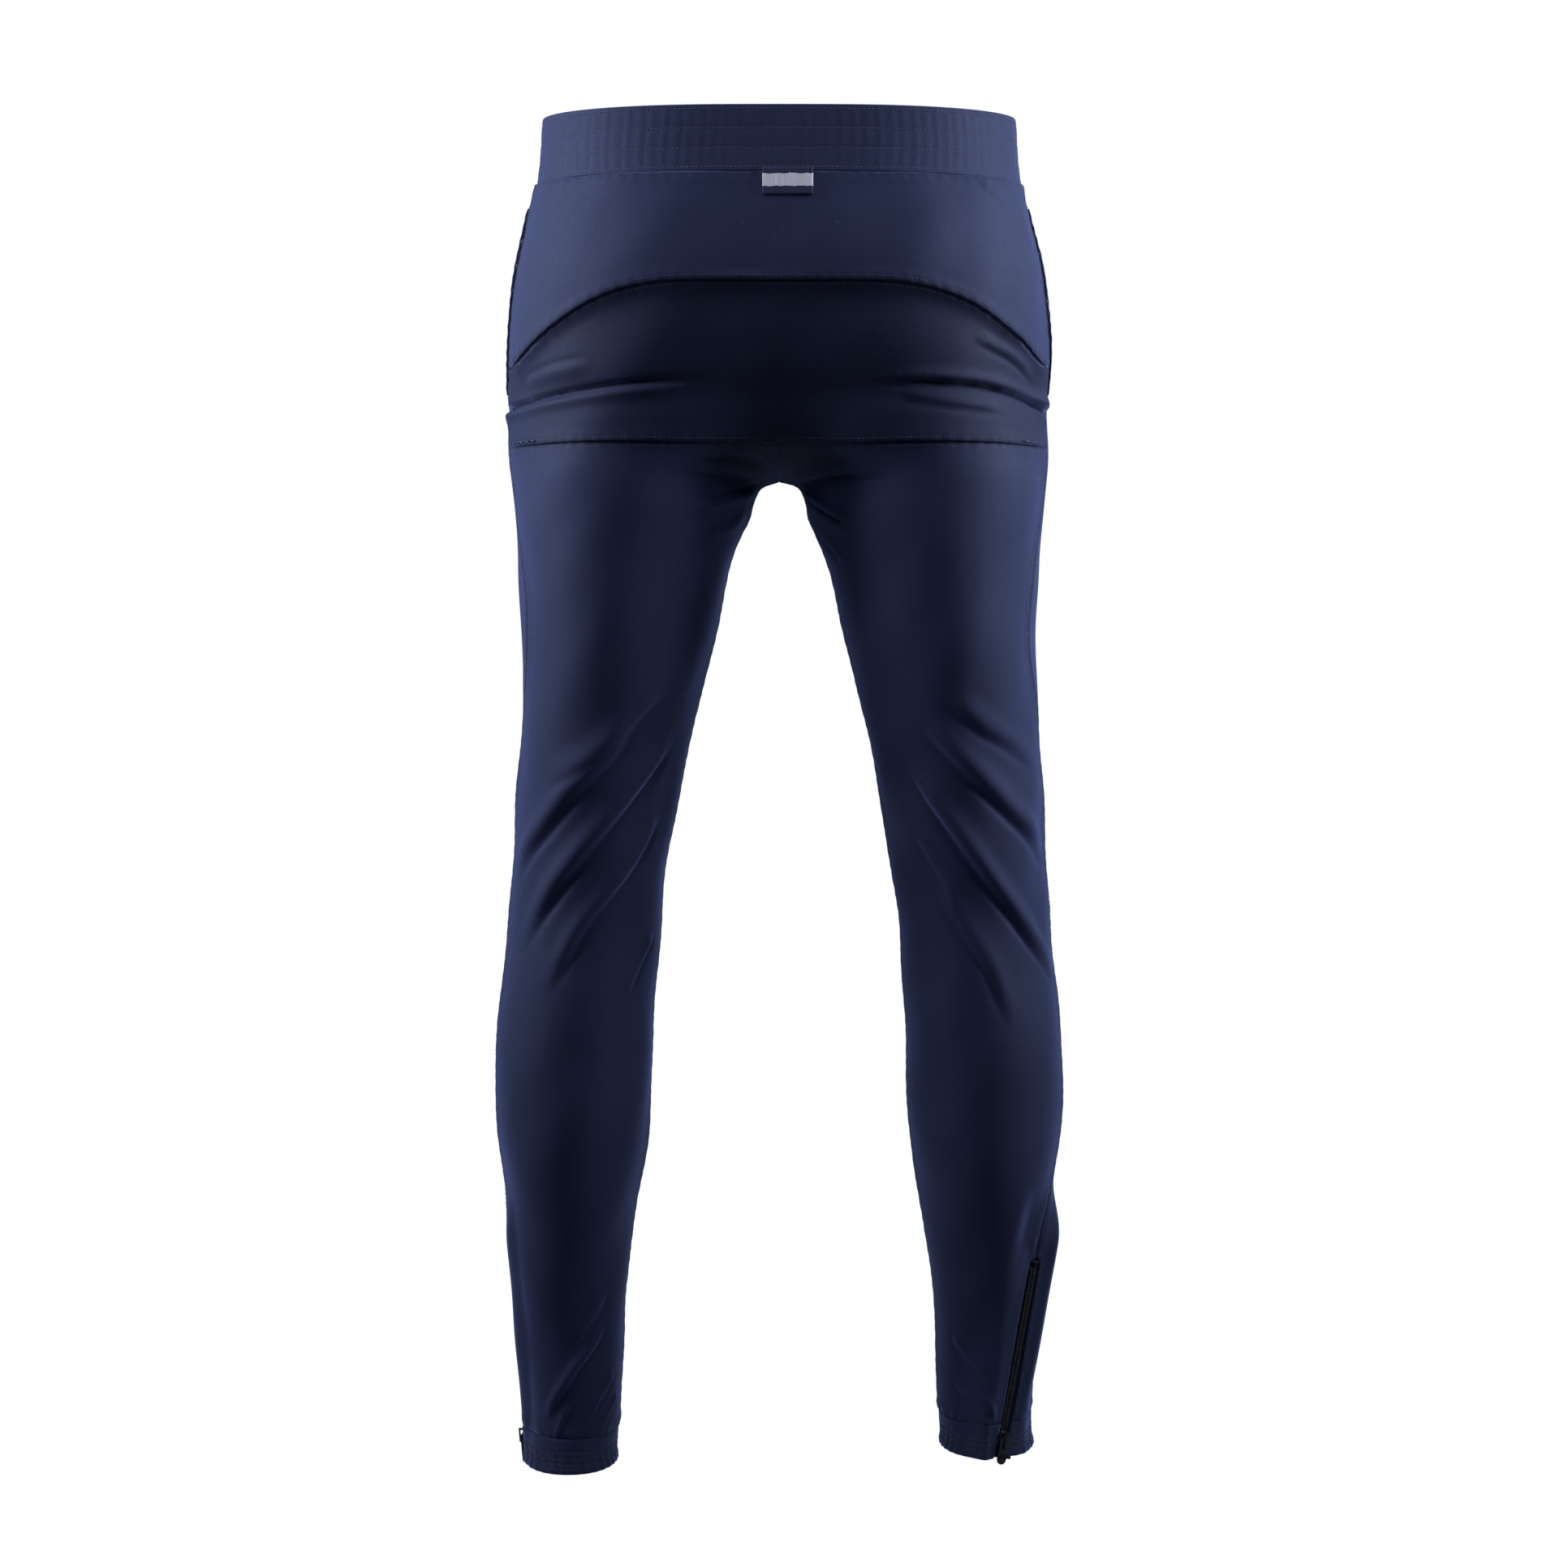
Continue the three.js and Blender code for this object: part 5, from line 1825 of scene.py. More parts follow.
@dataclass
class HemBand:
    """The band round a leg's lower edge, turned up inside and sewn with a wavy cover stitch."""

    tailor: Tailor
    side: Side
    height: float = 0.026
    gap: float = 0.0052
    flare: float = 0.0014
    rows: tuple[float, ...] = (0.0065, 0.0105, 0.0150)

    def build(self) -> None:
        """Makes the band and its stitches."""
        tailor, skin, plan = self.tailor, self.tailor.skin, self.tailor.plan
        profile = [(self.height - 0.0001 - e.inset, e.depth) for e in SEWN_EDGE]
        profile += [(up, 0.0) for up in np.linspace(self.height - 0.003, 0.0024, 12)]
        profile += [(0.0012, 0.0001), (0.0004, 0.0004), (0.0, 0.0011), (0.0004, 0.0018), (0.0012, 0.0021)]
        profile += [(up, 0.0022) for up in np.linspace(0.003, self.height - 0.004, 8)]
        up = np.array([p[0] for p in profile])[:, None]
        depth = np.array([p[1] for p in profile])[:, None]
        level = skin.hem_level(self.side.value)
        count = round(float(skin.loop_length(level)) / (tailor.step * 0.7))
        ways = np.linspace(0.0, 1.0, count)[None, :]
        height = np.broadcast_to(level + up, (len(up), count))
        for _ in range(6):
            loop = skin.loop_length(height)
            start = plan.back(self.side.value, height) + self.gap / loop
            turned = start + ways * (1 - 2 * self.gap / loop)
            share = np.mod(turned, 1.0)
            height = skin.hem_edge(self.side.value, share) + up
        run = turned * loop
        lip = self.flare * (1 - smoothstep(up, 0.0, 0.009))
        ripple = 0.00035 * np.sin(run * 2 * math.pi / 0.0085) * (1 - smoothstep(up, 0.004, 0.024))
        tunnel = 0.00035 * sum(np.exp(-(((up - row) / 0.0011) ** 2)) for row in self.rows)
        held = smoothstep(np.minimum(ways, 1 - ways) * loop, 0.0, 0.012)
        depth = depth - (lip + ripple) * held + tunnel
        name = f"hem_band_{self.side.label}"
        side = np.full(share.shape, float(self.side.value))
        tailor.cloth(f"{name}_cloth", side, share, height, depth, Slot.HEM, (name,), drape=0.0)
        for index, row in enumerate(self.rows):
            tailor.sew(f"{name}_stitches_{index}", *self._line(row, 420), zigzag=0.00095, pitch=0.0022)

    def _line(self, up: float, count: int) -> tuple[Array, Array]:
        """Points and normals along a level row of the band.

        Args:
            up: Its height above the hem.
            count: How many points.

        Returns:
            The points and the normals.
        """
        skin, plan = self.tailor.skin, self.tailor.plan
        ways = np.linspace(0.0, 1.0, count)
        height = np.full(count, float(skin.hem_level(self.side.value) + up))
        for _ in range(5):
            loop = skin.loop_length(height)
            inner_gap = (self.gap + 0.003) / loop
            turned = plan.back(self.side.value, height) + inner_gap + ways * (1 - 2 * inner_gap)
            share = np.mod(turned, 1.0)
            height = skin.hem_edge(self.side.value, share) + up
        lip = self.flare * (1 - smoothstep(up, 0.0, 0.009))
        held = smoothstep(np.minimum(ways, 1 - ways) * loop, 0.0, 0.012)
        return skin.point(self.side.value, share, height, -lip * held + 0.0001)


@dataclass
class Pocket:
    """A side pocket: the bag behind the panels and the welt along its mouth."""

    tailor: Tailor
    side: Side
    top: float = -0.068
    bottom: float = -0.206
    margin: float = 0.0095
    reach: float = 0.123
    layer: float = 0.0005
    hollow: float = 0.0020
    clear: float = 0.0021
    welt_width: float = 0.008
    welt_thickness: float = 0.0008
    welt_lift: float = 0.0005
    welt_start: float = 0.0034
    welt_edge: float = 0.0006

    def build(self) -> None:
        """Makes the bag and the welt."""
        self._bag()
        self._welt()

    def _bag(self) -> None:
        """Two layers, folded at the front and drawn together at the top and the bottom."""
        tailor, plan, skin = self.tailor, self.tailor.plan, self.tailor.skin
        height = np.linspace(self.top + self.margin, self.bottom - self.margin, 40)[:, None]
        closing = np.sin(np.linspace(0.0, math.pi, 40))[:, None] ** 0.4
        gap = self.layer + self.hollow * closing
        out = np.linspace(-0.004, self.reach, 40)
        bend = np.linspace(-math.pi / 2, math.pi / 2, 9)[1:-1]
        along = np.concatenate([out, self.reach + 0.0012 * np.cos(bend), out[::-1]])[None, :]
        turn = np.concatenate([np.zeros(40), (np.sin(bend) + 1) / 2, np.ones(40)])[None, :]
        share = plan.back(self.side.value, height) + along / skin.loop_length(height)
        depth = self.clear + turn * gap
        name = f"pocket_bag_{self.side.label}"
        side = np.full(share.shape, float(self.side.value))
        tailor.cloth(
            f"{name}_cloth", side, share, height, depth, Slot.LINING, (name,), self.layer * 0.8, drape=0.6
        )

    def _welt(self) -> None:
        """A doubled strip, rounded at its edges, that stands just off the panel beside the mouth."""
        tailor, plan, skin = self.tailor, self.tailor.plan, self.tailor.skin
        height = np.linspace(self.top - 0.0003, self.bottom + 0.0003, 90)[:, None]
        ways = np.linspace(0.0, 1.0, 11)[None, :]
        across = self.welt_start + ways * (self.welt_width - self.welt_edge)
        share = plan.back(self.side.value, height) + across / skin.loop_length(height)
        edge = np.minimum(ways, 1 - ways) * self.welt_width
        end = np.minimum(self.top - height, height - self.bottom)
        round_off = 0.0005 * (1 - smoothstep(np.minimum(edge, end), 0.0, 0.0009))
        ripple = 0.00012 * np.sin(height * 2 * math.pi / 0.009)
        depth = -self.welt_lift - self.welt_thickness + round_off + ripple
        name = f"pocket_welt_{self.side.label}"
        side = np.full(share.shape, float(self.side.value))
        tailor.cloth(f"{name}_cloth", side, share, height, depth, Slot.TROUSER, (name,), self.welt_thickness)


# ---- the ankle zips


@dataclass
class AnkleZip:
    """One ankle zip: tapes, interlocked coils, stops, facing, slider and pull, in axes along, across and outward."""

    tailor: Tailor
    side: Side
    length: float = 0.150
    tape: float = 0.012
    tape_thickness: float = 0.0006
    tape_top: float = -0.0016
    gap: float = 0.0012
    coil_out: float = 0.0030
    coil_foot: float = -0.0013
    coil_top: float = 0.0005
    tooth_pitch: float = 0.00135
    stop_length: float = 0.002
    stop_from_end: float = 0.0035
    seam: float = 0.0003
    park: float = 0.014
    slider_length: float = 0.012
    slider_width: float = 0.0084
    plate_foot: float = 0.0008
    plate: float = 0.0014
    bridge_length: float = 0.0105
    bridge_width: float = 0.0022
    bridge_window: float = 0.0024
    pull_length: float = 0.018
    pull_width: float = 0.008
    pull_thickness: float = 0.0012
    bar: float = 0.0014
    hole: tuple[float, float] = (0.0056, 0.0034)

    def __post_init__(self) -> None:
        """Finds the zip's place."""
        line = self.tailor.skin.zips[self.side]
        self.line = line
        self.place = Matrix(
            [[line.along[k], line.across[k], line.outward[k], line.foot[k]] for k in range(3)] + [[0, 0, 0, 1]]
        )

    def _at(self, along: float, out: float = 0.0) -> Matrix:
        """The zip's axes moved along it and outwards."""
        return self.place @ Matrix.Translation((along, 0.0, out))

    def _name(self, part: str) -> str:
        """A part's name on this side."""
        return f"{part}_{self.side.label}"

    def _give(self, piece: bpy.types.Object, node: str, slot: Slot, body: Body = Body.GARMENT) -> None:
        """Dresses a rigid piece, lets it ride and lets it stand for its node.

        Args:
            piece: The piece.
            node: The frame's node.
            slot: Its slot.
            body: The body that it rides on.
        """
        self.tailor.wardrobe.dress(piece, slot)
        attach(piece, body.of(self.side))
        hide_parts(node)
        log.info("%s: %d faces", piece.name, len(piece.data.polygons))

    def build(self) -> None:
        """Makes every part of the zip."""
        for hand, word in ((-1, "back"), (1, "front")):
            self._tape(hand, word)
            self._coil(hand, word)
        self._facing()
        self._stops()
        self._slider()
        self._pull()

    def _strip(self, name: str, node: str, along: Array, across: Array, out: Array, thickness: float) -> None:
        """A strip of tape through a grid of places in the zip's axes.

        Args:
            name: The piece's name.
            node: The frame's node.
            along: Places along the zip.
            across: Places across it.
            out: Places outwards.
            thickness: The tape's thickness.
        """
        line = self.line
        along, across, out = np.broadcast_arrays(along, across, out)
        points = (
            line.foot
            + line.along * along[..., None]
            + line.across * across[..., None]
            + line.outward * out[..., None]
        )
        run = np.stack([across, along], axis=-1)
        outward = np.broadcast_to(line.outward, points.shape)
        piece = grid_piece(name, points, run, np.zeros(along.shape), outward)
        Bench.finish(piece, "SOLIDIFY", thickness=thickness, offset=-1.0)
        self.tailor.wardrobe.dress(piece, Slot.ZIP_TAPE)
        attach(piece, Body.GARMENT.of())
        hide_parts(node)
        width, length, area = flat_size(points)
        log.info("%s: %.3f x %.3f m", name, width, length)

    def _tape(self, hand: int, word: str) -> None:
        """One tape, with a corded inner edge.

        Args:
            hand: -1 for the back tape, 1 for the front one.
            word: back or front.
        """
        along = np.linspace(self.seam, self.length + 2 * self.stop_from_end, 120)[:, None]
        ways = np.linspace(0.0, 1.0, 12)[None, :]
        across = hand * (self.gap / 2 + 0.0001 + ways * (self.tape - 0.0002))
        out = self.tape_top - 0.00012 * (1 - np.cos(ways * 2 * math.pi * 4))
        name = self._name(f"ankle_zip_tape_{word}")
        self._strip(f"{name}_cloth", name, along, across, out, self.tape_thickness * 0.8)

    def _facing(self) -> None:
        """The strip behind the zip, raised at its edges to meet the tapes."""
        along = np.linspace(self.seam, self.length + 2 * self.stop_from_end, 60)[:, None]
        ways = np.linspace(-1.0, 1.0, 24)[None, :]
        wide = self.gap / 2 + self.tape
        under = self.tape_top - self.tape_thickness - self.seam
        floor = under - self.plate - 0.0005
        out = floor + (under - floor) * smoothstep(np.abs(ways) * wide, wide - 0.0032, wide - 0.0006)
        name = self._name("ankle_zip_facing")
        self._strip(f"{name}_cloth", name, along, ways * wide, out, 0.0006)

    def _coil(self, hand: int, word: str) -> None:
        """A row of coil turns: one bent wire ring, modelled once and repeated along the tape's edge.

        Args:
            hand: -1 for the back row, 1 for the front one.
            word: back or front.
        """
        Bench.clear()
        bpy.ops.mesh.primitive_torus_add(
            major_segments=10, minor_segments=5, major_radius=0.00105, minor_radius=0.00040
        )
        tooth = bpy.context.object
        tooth.name = self._name(f"ankle_zip_coil_{word}_turns")
        tooth.rotation_euler = (0.0, math.radians(90), 0.0)
        bpy.ops.object.transform_apply(location=False, rotation=True, scale=False)
        tooth.scale = (1.0, 1.0, 0.55)
        bpy.ops.object.transform_apply(location=False, rotation=False, scale=True)
        start = self.stop_from_end + self.stop_length + self.seam + 0.0006
        shift = self.tooth_pitch / 2 * (hand > 0)
        middle = (self.coil_foot + self.coil_top) / 2
        tooth.location = (start + shift, hand * 0.00148, middle)
        bpy.ops.object.transform_apply(location=True, rotation=False, scale=False)
        count = int((self.length - self.stop_from_end - 0.0045 - start) / self.tooth_pitch)
        Bench.finish(
            tooth,
            "ARRAY",
            count=count,
            use_relative_offset=False,
            use_constant_offset=True,
            constant_offset_displace=(self.tooth_pitch, 0.0, 0.0),
        )
        ridge = Bench.block(
            "ridge",
            (start - 0.0006, min(hand * 0.0024, hand * 0.0030), self.coil_foot),
            (start + count * self.tooth_pitch, max(hand * 0.0024, hand * 0.0030), self.coil_foot + 0.0009),
            0.00025,
        )
        tooth = Bench.joined(self._name(f"ankle_zip_coil_{word}_turns"), [tooth, ridge])
        Bench.seat(tooth, self.place)
        self._give(tooth, self._name(f"ankle_zip_coil_{word}"), Slot.ZIP_COIL)

    def _stops(self) -> None:
        """The bottom and top stops: rounded clips with a pressed groove."""
        half = self.stop_length / 2
        for word, along in (("bottom", self.stop_from_end + 0.001), ("top", self.length - self.stop_from_end + 0.0005)):
            stop = Bench.block(
                self._name(f"ankle_zip_{word}_stop_clip"),
                (-half, -self.coil_out, self.coil_foot),
                (half, self.coil_out, self.coil_foot + 0.0018),
            )
            Bench.take(stop)
            bpy.ops.object.mode_set(mode="EDIT")
            Bench.pick(stop, lambda face: face.normal.z > 0.9)
            bpy.ops.mesh.inset(thickness=0.00055)
            bpy.ops.transform.translate(value=(0.0, 0.0, -0.0004))
            bpy.ops.object.mode_set(mode="OBJECT")
            Bench.finish(stop, "BEVEL", width=0.00028, segments=3, limit_method="ANGLE")
            Bench.seat(stop, self._at(along))
            self._give(stop, self._name(f"ankle_zip_{word}_stop"), Slot.METAL)

    def _slider(self) -> None:
        """The slider: two tapered plates joined by side walls and a neck, with a bridge over the top."""
        half, wide, top = self.slider_length / 2, self.slider_width / 2, self.plate_foot + self.plate
        parts = [self._plate("plate", (-half, -wide, self.plate_foot), (half, wide, top), 0.0005)]
        under = self.tape_top - self.tape_thickness - self.seam
        parts.append(self._plate("foot", (-half, -wide, under - self.plate), (half, wide, under), 0.0004))
        for hand in (-1, 1):
            low, high = sorted((hand * wide, hand * (wide - 0.0009)))
            corner = (-half + 0.001, low, self.tape_top + 0.0003)
            parts.append(Bench.block("wall", corner, (half - 0.002, high, top - 0.0006), 0.0002))
        parts.append(Bench.block("neck", (0.0036, -0.0003, under - 0.0002), (0.0056, 0.0003, top - 0.0006), 0.0001))
        parts.append(self._bridge(top))
        slider = Bench.joined(self._name("ankle_zip_slider_body"), parts)
        Bench.seat(slider, self._at(self.park))
        self._give(slider, self._name("ankle_zip_slider"), Slot.METAL, Body.SLIDER)

    def _plate(self, name: str, low: tuple, high: tuple, bevel: float) -> bpy.types.Object:
        """A plate that narrows towards its lower end.

        Args:
            name: The plate's name.
            low: Its lowest corner.
            high: Its highest corner.
            bevel: The radius of its edges.

        Returns:
            The plate.
        """
        plate = Bench.block(name, low, high)
        Bench.take(plate)
        bpy.ops.object.mode_set(mode="EDIT")
        Bench.pick(plate, lambda face: face.normal.x < -0.9)
        bpy.ops.transform.resize(value=(1.0, 0.66, 1.0), center_override=(low[0], 0.0, 0.0))
        Bench.pick(plate, lambda face: abs(face.normal.z) > 0.9 and face.center.z > 0.0)
        bpy.ops.mesh.inset(thickness=0.0009)
        bpy.ops.transform.translate(value=(0.0, 0.0, 0.00015))
        bpy.ops.object.mode_set(mode="OBJECT")
        Bench.finish(plate, "BEVEL", width=bevel, segments=3, limit_method="ANGLE")
        return plate

    def _bridge(self, top: float) -> bpy.types.Object:
        """The bridge, extruded from a foot, over and down to the other end.

        Args:
            top: The height of the upper plate's face.

        Returns:
            The bridge.
        """
        span, wide = self.bridge_length / 2, self.bridge_width / 2
        beam_foot = top + self.bridge_window
        beam = Bench.block("bridge", (-span, -wide, beam_foot - 0.00005), (span, wide, beam_foot + 0.001))
        Bench.take(beam)
        bpy.ops.object.mode_set(mode="EDIT")
        bpy.ops.mesh.select_all(action="SELECT")
        bpy.ops.mesh.subdivide(number_cuts=6)
        Bench.pick(beam, lambda face: face.normal.z < -0.9 and abs(face.center.x) > span - 0.0017)
        bpy.ops.mesh.extrude_region_move(TRANSFORM_OT_translate={"value": (0.0, 0.0, top - beam_foot - 0.0002)})
        bpy.ops.object.mode_set(mode="OBJECT")
        Bench.finish(beam, "BEVEL", width=0.00032, segments=3, limit_method="ANGLE")
        return beam

    def _pull(self) -> None:
        """The pull: a flat tongue with a window, a rounded end and a ribbed grip."""
        wide, end = self.pull_width / 2, -self.pull_length + self.pull_width / 2
        half = self.pull_thickness / 2
        Bench.clear()
        bpy.ops.mesh.primitive_cylinder_add(vertices=40, radius=wide, depth=self.pull_thickness, location=(end, 0, 0))
        tip = bpy.context.object
        tongue = Bench.block("tongue", (end, -wide, -half), (self.bar / 2, wide, half))
        window = Bench.block(
            "window",
            (-self.bar / 2 - self.hole[0], -self.hole[1] / 2, -self.pull_thickness),
            (-self.bar / 2, self.hole[1] / 2, self.pull_thickness),
        )
        Bench.finish(tongue, "BOOLEAN", operation="UNION", object=tip, solver="EXACT")
        Bench.finish(tongue, "BOOLEAN", operation="DIFFERENCE", object=window, solver="EXACT")
        for helper in (tip, window):
            bpy.data.objects.remove(helper)
        Bench.finish(tongue, "BEVEL", width=0.00026, segments=3, limit_method="ANGLE")
        grips = []
        for x in (-0.0098, -0.0116, -0.0134, -0.0152):
            low, high = (x - 0.0004, -wide * 0.6, half - 0.0002), (x + 0.0004, wide * 0.6, half + 0.0002)
            grips.append(Bench.block("grip", low, high, 0.00015))
        pull = Bench.joined(self._name("ankle_zip_pull_tongue"), [tongue, *grips])
        level = self.plate_foot + self.plate + self.bridge_window / 2
        Bench.seat(pull, self._at(self.park, level))
        self._give(pull, self._name("ankle_zip_pull"), Slot.RUBBER, Body.PULL)


@dataclass
class DrawcordEyelet:
    """A pressed ring in the front of the waistband, turned from a profile."""

    tailor: Tailor
    side: Side
    reach: float = 0.0245
    level: float = -0.024
    bore: float = 0.0024
    barrel: float = 0.0032
    flange: float = 0.0052

    def build(self) -> None:
        """Turns the ring and sets it in the waistband."""
        profile = [(self.bore, -0.0009), (self.barrel, -0.0009), (self.barrel, 0.0005), (self.flange - 0.0002, 0.0004)]
        profile += [(self.flange, 0.0006), (self.flange - 0.0003, 0.0010), (self.barrel + 0.0006, 0.0012)]
        profile += [(self.bore + 0.0002, 0.0011), (self.bore, 0.0008)]
        mesh = bpy.data.meshes.new("ring")
        count = len(profile)
        edges = [(k, (k + 1) % count) for k in range(count)]
        mesh.from_pydata([(r, 0.0, h) for r, h in profile], edges, [])
        name = f"drawcord_eyelet_{self.side.label}"
        ring = bpy.data.objects.new(f"{name}_ring", mesh)
        bpy.context.scene.collection.objects.link(ring)
        Bench.take(ring)
        bpy.ops.object.mode_set(mode="EDIT")
        bpy.ops.mesh.select_all(action="SELECT")
        bpy.ops.mesh.spin(steps=40, angle=2 * math.pi, center=(0.0, 0.0, 0.0), axis=(0.0, 0.0, 1.0))
        bpy.ops.mesh.select_all(action="SELECT")
        bpy.ops.mesh.remove_doubles(threshold=0.00002)
        bpy.ops.mesh.normals_make_consistent(inside=False)
        bpy.ops.object.mode_set(mode="OBJECT")
        skin = self.tailor.skin
        shares = np.linspace(0.8, 1.0, 400)
        reach = np.abs(skin.smooth(1.0, shares, self.level)[0][:, 0])
        share = float(np.interp(-self.reach, -reach, shares))
        point, normal = skin.smooth(float(self.side.value), np.array(share), np.array(self.level))
        turn = Vector(normal).to_track_quat("Z", "Y").to_matrix().to_4x4()
        Bench.seat(ring, Matrix.Translation(Vector(point)) @ turn)
        self.tailor.wardrobe.dress(ring, Slot.METAL)
        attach(ring, Body.GARMENT.of())
        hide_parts(name)
        log.info("%s: %d faces", name, len(ring.data.polygons))


@dataclass
class Stitching:
    """The rows of top stitches beside the seams, and the bars at the ends of the pockets."""

    tailor: Tailor
    beside: float = 0.0035

    def build(self) -> None:
        """Sews every row."""
        plan = self.tailor.plan
        for name, gap in (("yoke_stitches", 0.0032), ("yoke_low_stitches", -0.0030)):
            share = self._back_shares(plan.yoke_side)
            self._across(name, share, plan.yoke(share) + gap)
        for index, gap in enumerate((-0.0032, 0.0030)):
            share = self._back_shares(plan.seat)
            self._across(f"seat_stitches_{index}", share, np.full(share.shape, plan.seat + gap))
        for side in Side:
            self._upright(side)
            self._bars(side)

    def _back_shares(self, level: float) -> Array:
        """Shares of the way round from one side seam across the back to the other, below 0 on the left."""
        ways = np.linspace(-1.0, 1.0, 600)
        return ways * self.tailor.plan.back(np.sign(ways + 1e-9), np.full(ways.shape, level)) * 0.995

    def _across(self, name: str, share: Array, height: Array) -> None:
        """Sews a row across the back."""
        self.tailor.sew_on_skin(name, np.where(share < 0, -1.0, 1.0), np.abs(share), height)

    def _upright(self, side: Side) -> None:
        """Rows beside the side panel's two seams, the zip and the band above the hem.

        Args:
            side: The leg.
        """
        plan, skin = self.tailor.plan, self.tailor.skin
        sign, head = float(side.value), skin.zips[side].top_height
        for name, edge, gap in (("back", plan.back, -self.beside), ("front", plan.front, self.beside)):
            low = plan.leg_end(sign, np.array(0.5)) + 0.004
            height = np.linspace(-0.054, head + 0.004 if name == "back" else float(low), 900)
            share = edge(sign, height) + gap / skin.loop_length(height)
            self.tailor.sew_on_skin(f"{name}_seam_stitches_{side.label}", np.full(900, sign), share, height)
        for name, hand in (("back", -1), ("front", 1)):
            height = np.linspace(head + 0.002, float(plan.leg_end(sign, np.array(0.45))) + 0.003, 260)
            share = plan.back(sign, height) + hand * 0.0072 / skin.loop_length(height)
            self.tailor.sew_on_skin(f"zip_{name}_stitches_{side.label}", np.full(260, sign), share, height)

    def _bars(self, side: Side) -> None:
        """Short dense bars at both ends of the pocket's mouth, and one beside the centre of the yoke.

        Args:
            side: The side.
        """
        plan, skin = self.tailor.plan, self.tailor.skin
        sign = float(side.value)
        for index, level in enumerate((-0.0665, -0.2075)):
            ways = np.linspace(-0.0045, 0.0085, 40)
            height = np.full(40, level)
            share = plan.back(sign, height) + ways / skin.loop_length(height)
            points, normals = self.tailor.surface(np.full(40, sign), share, height)
            self.tailor.sew(f"pocket_bar_{index}_{side.label}", points, normals, zigzag=0.0006, pitch=0.0008)
        reach = 0.026 if side is Side.LEFT else 0.042
        height = np.full(12, -0.0885)
        share = (reach + np.linspace(-0.0011, 0.0011, 12)) / skin.loop_length(height)
        points, normals = self.tailor.surface(np.full(12, sign), share, height)
        self.tailor.sew(f"yoke_dot_{side.label}", points, normals, zigzag=0.0005, pitch=0.0007)


# ---- the studio


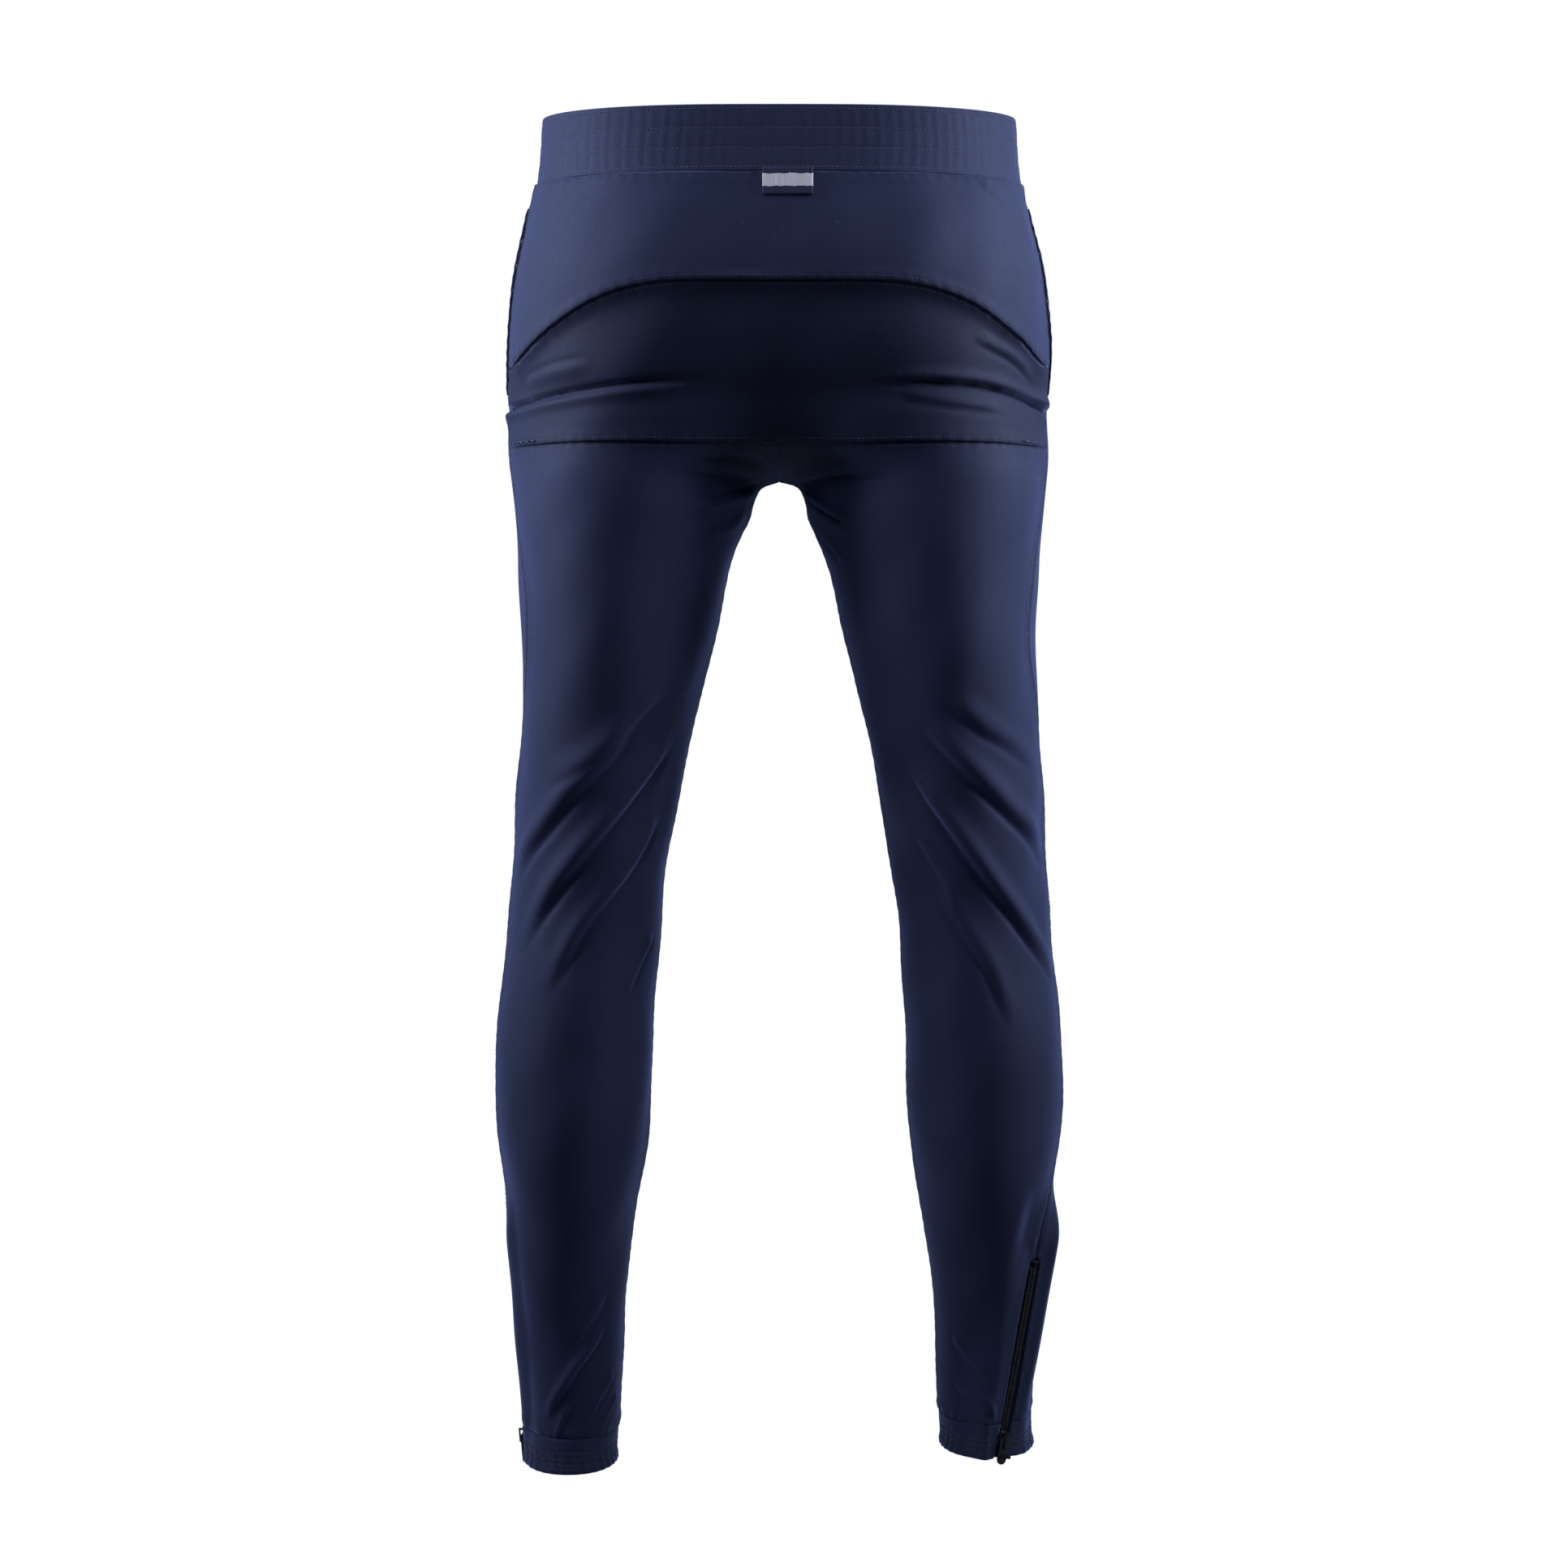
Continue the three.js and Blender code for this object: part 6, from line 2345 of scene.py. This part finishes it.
@dataclass
class Studio:
    """A white studio with a soft light on either side."""

    camera_at: tuple[float, float, float] = (0.0036, -4.0, -0.494)
    lens: float = 123.4
    floor: float = -1.03
    side_power: float = 9.6
    fill_power: float = 2.3
    far_power: float = 6.5
    spread: float = 100.0

    def build(self) -> None:
        """Sets the camera, the lights, the floor and the world."""
        scene = bpy.context.scene
        scene.view_settings.view_transform = "Standard"
        camera = bpy.data.cameras.new("camera")
        camera.lens, camera.sensor_width = self.lens, 36.0
        holder = bpy.data.objects.new("camera", camera)
        holder.location = self.camera_at
        holder.rotation_euler = (math.radians(90), 0.0, 0.0)
        scene.collection.objects.link(holder)
        scene.camera = holder
        self._light("left_light", (-1.15, -0.14, 0.22), (0.0, 0.0, -0.18), self.side_power, (0.55, 0.7))
        self._light("right_light", (1.15, -0.14, 0.22), (0.0, 0.0, -0.18), self.side_power, (0.55, 0.7))
        self._light("fill_light", (0.0, -1.3, 0.75), (0.0, 0.0, -0.1), self.fill_power, (1.0, 0.5))
        self._light("far_light", (0.3, 2.4, 0.6), (0.0, 0.0, -0.4), self.far_power, (1.6, 1.2))
        self._floor()
        self._world()

    def _light(self, name: str, place: tuple, aim: tuple, power: float, size: tuple[float, float]) -> None:
        """An area light aimed at a point.

        Args:
            name: The light's name.
            place: Where it hangs.
            aim: The point it is aimed at.
            power: Its power in watts.
            size: Its width and height.
        """
        lamp = bpy.data.lights.new(name, "AREA")
        lamp.energy, lamp.shape = power, "RECTANGLE"
        lamp.size, lamp.size_y = size
        lamp.spread = math.radians(self.spread)
        holder = bpy.data.objects.new(name, lamp)
        holder.location = place
        holder.rotation_euler = (Vector(aim) - Vector(place)).to_track_quat("-Z", "Y").to_euler()
        bpy.context.scene.collection.objects.link(holder)

    def _floor(self) -> None:
        """A plain pale floor that blends into the world."""
        Bench.clear()
        bpy.ops.mesh.primitive_plane_add(size=14.0, location=(0.0, 0.0, self.floor))
        floor = bpy.context.object
        floor.name = "studio_floor"
        material, graph = started("studio_white")
        bright = graph.node("ShaderNodeEmission", {"Color": rgba((1.0, 1.0, 1.0)), "Strength": 1.0})
        dull = graph.node("ShaderNodeBsdfDiffuse", {"Color": rgba((0.35, 0.35, 0.36))})
        rays = graph.node("ShaderNodeLightPath")
        seen = rays.outputs["Is Camera Ray"]
        mix = graph.node("ShaderNodeMixShader", {0: seen, 1: dull.outputs[0], 2: bright.outputs[0]})
        graph.node("ShaderNodeOutputMaterial", {"Surface": mix.outputs[0]})
        floor.data.materials.append(material)

    def _world(self) -> None:
        """White to the camera, dim to everything else."""
        world = bpy.data.worlds.new("studio")
        bpy.context.scene.world = world
        world.use_nodes = True
        world.node_tree.nodes.clear()
        graph = Graph(world.node_tree)
        rays = graph.node("ShaderNodeLightPath")
        strength = graph.math("MULTIPLY_ADD", rays.outputs["Is Camera Ray"], 0.965, 0.035)
        light = graph.node("ShaderNodeBackground", {"Color": rgba((1.0, 1.0, 1.0)), "Strength": strength})
        graph.node("ShaderNodeOutputWorld", {"Surface": light.outputs[0]})


# ---- the trousers


@dataclass
class Trousers:
    """The whole garment."""

    skin: Skin = field(default_factory=Skin)

    def build(self) -> None:
        """Makes every sub-assembly."""
        plan = SeamPlan(self.skin)
        tailor = Tailor(Drape(plan), Wardrobe())
        Panels(tailor).build()
        Waistband(tailor).build()
        HangingTab(tailor).build()
        for side in Side:
            HemBand(tailor, side).build()
            Pocket(tailor, side).build()
            AnkleZip(tailor, side).build()
            DrawcordEyelet(tailor, side).build()
        Stitching(tailor).build()


def main() -> None:
    """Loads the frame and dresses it."""
    logging.basicConfig(level=logging.INFO, format="%(name)s: %(message)s")
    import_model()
    Trousers().build()
    Studio().build()


if __name__ == "__main__":
    main()
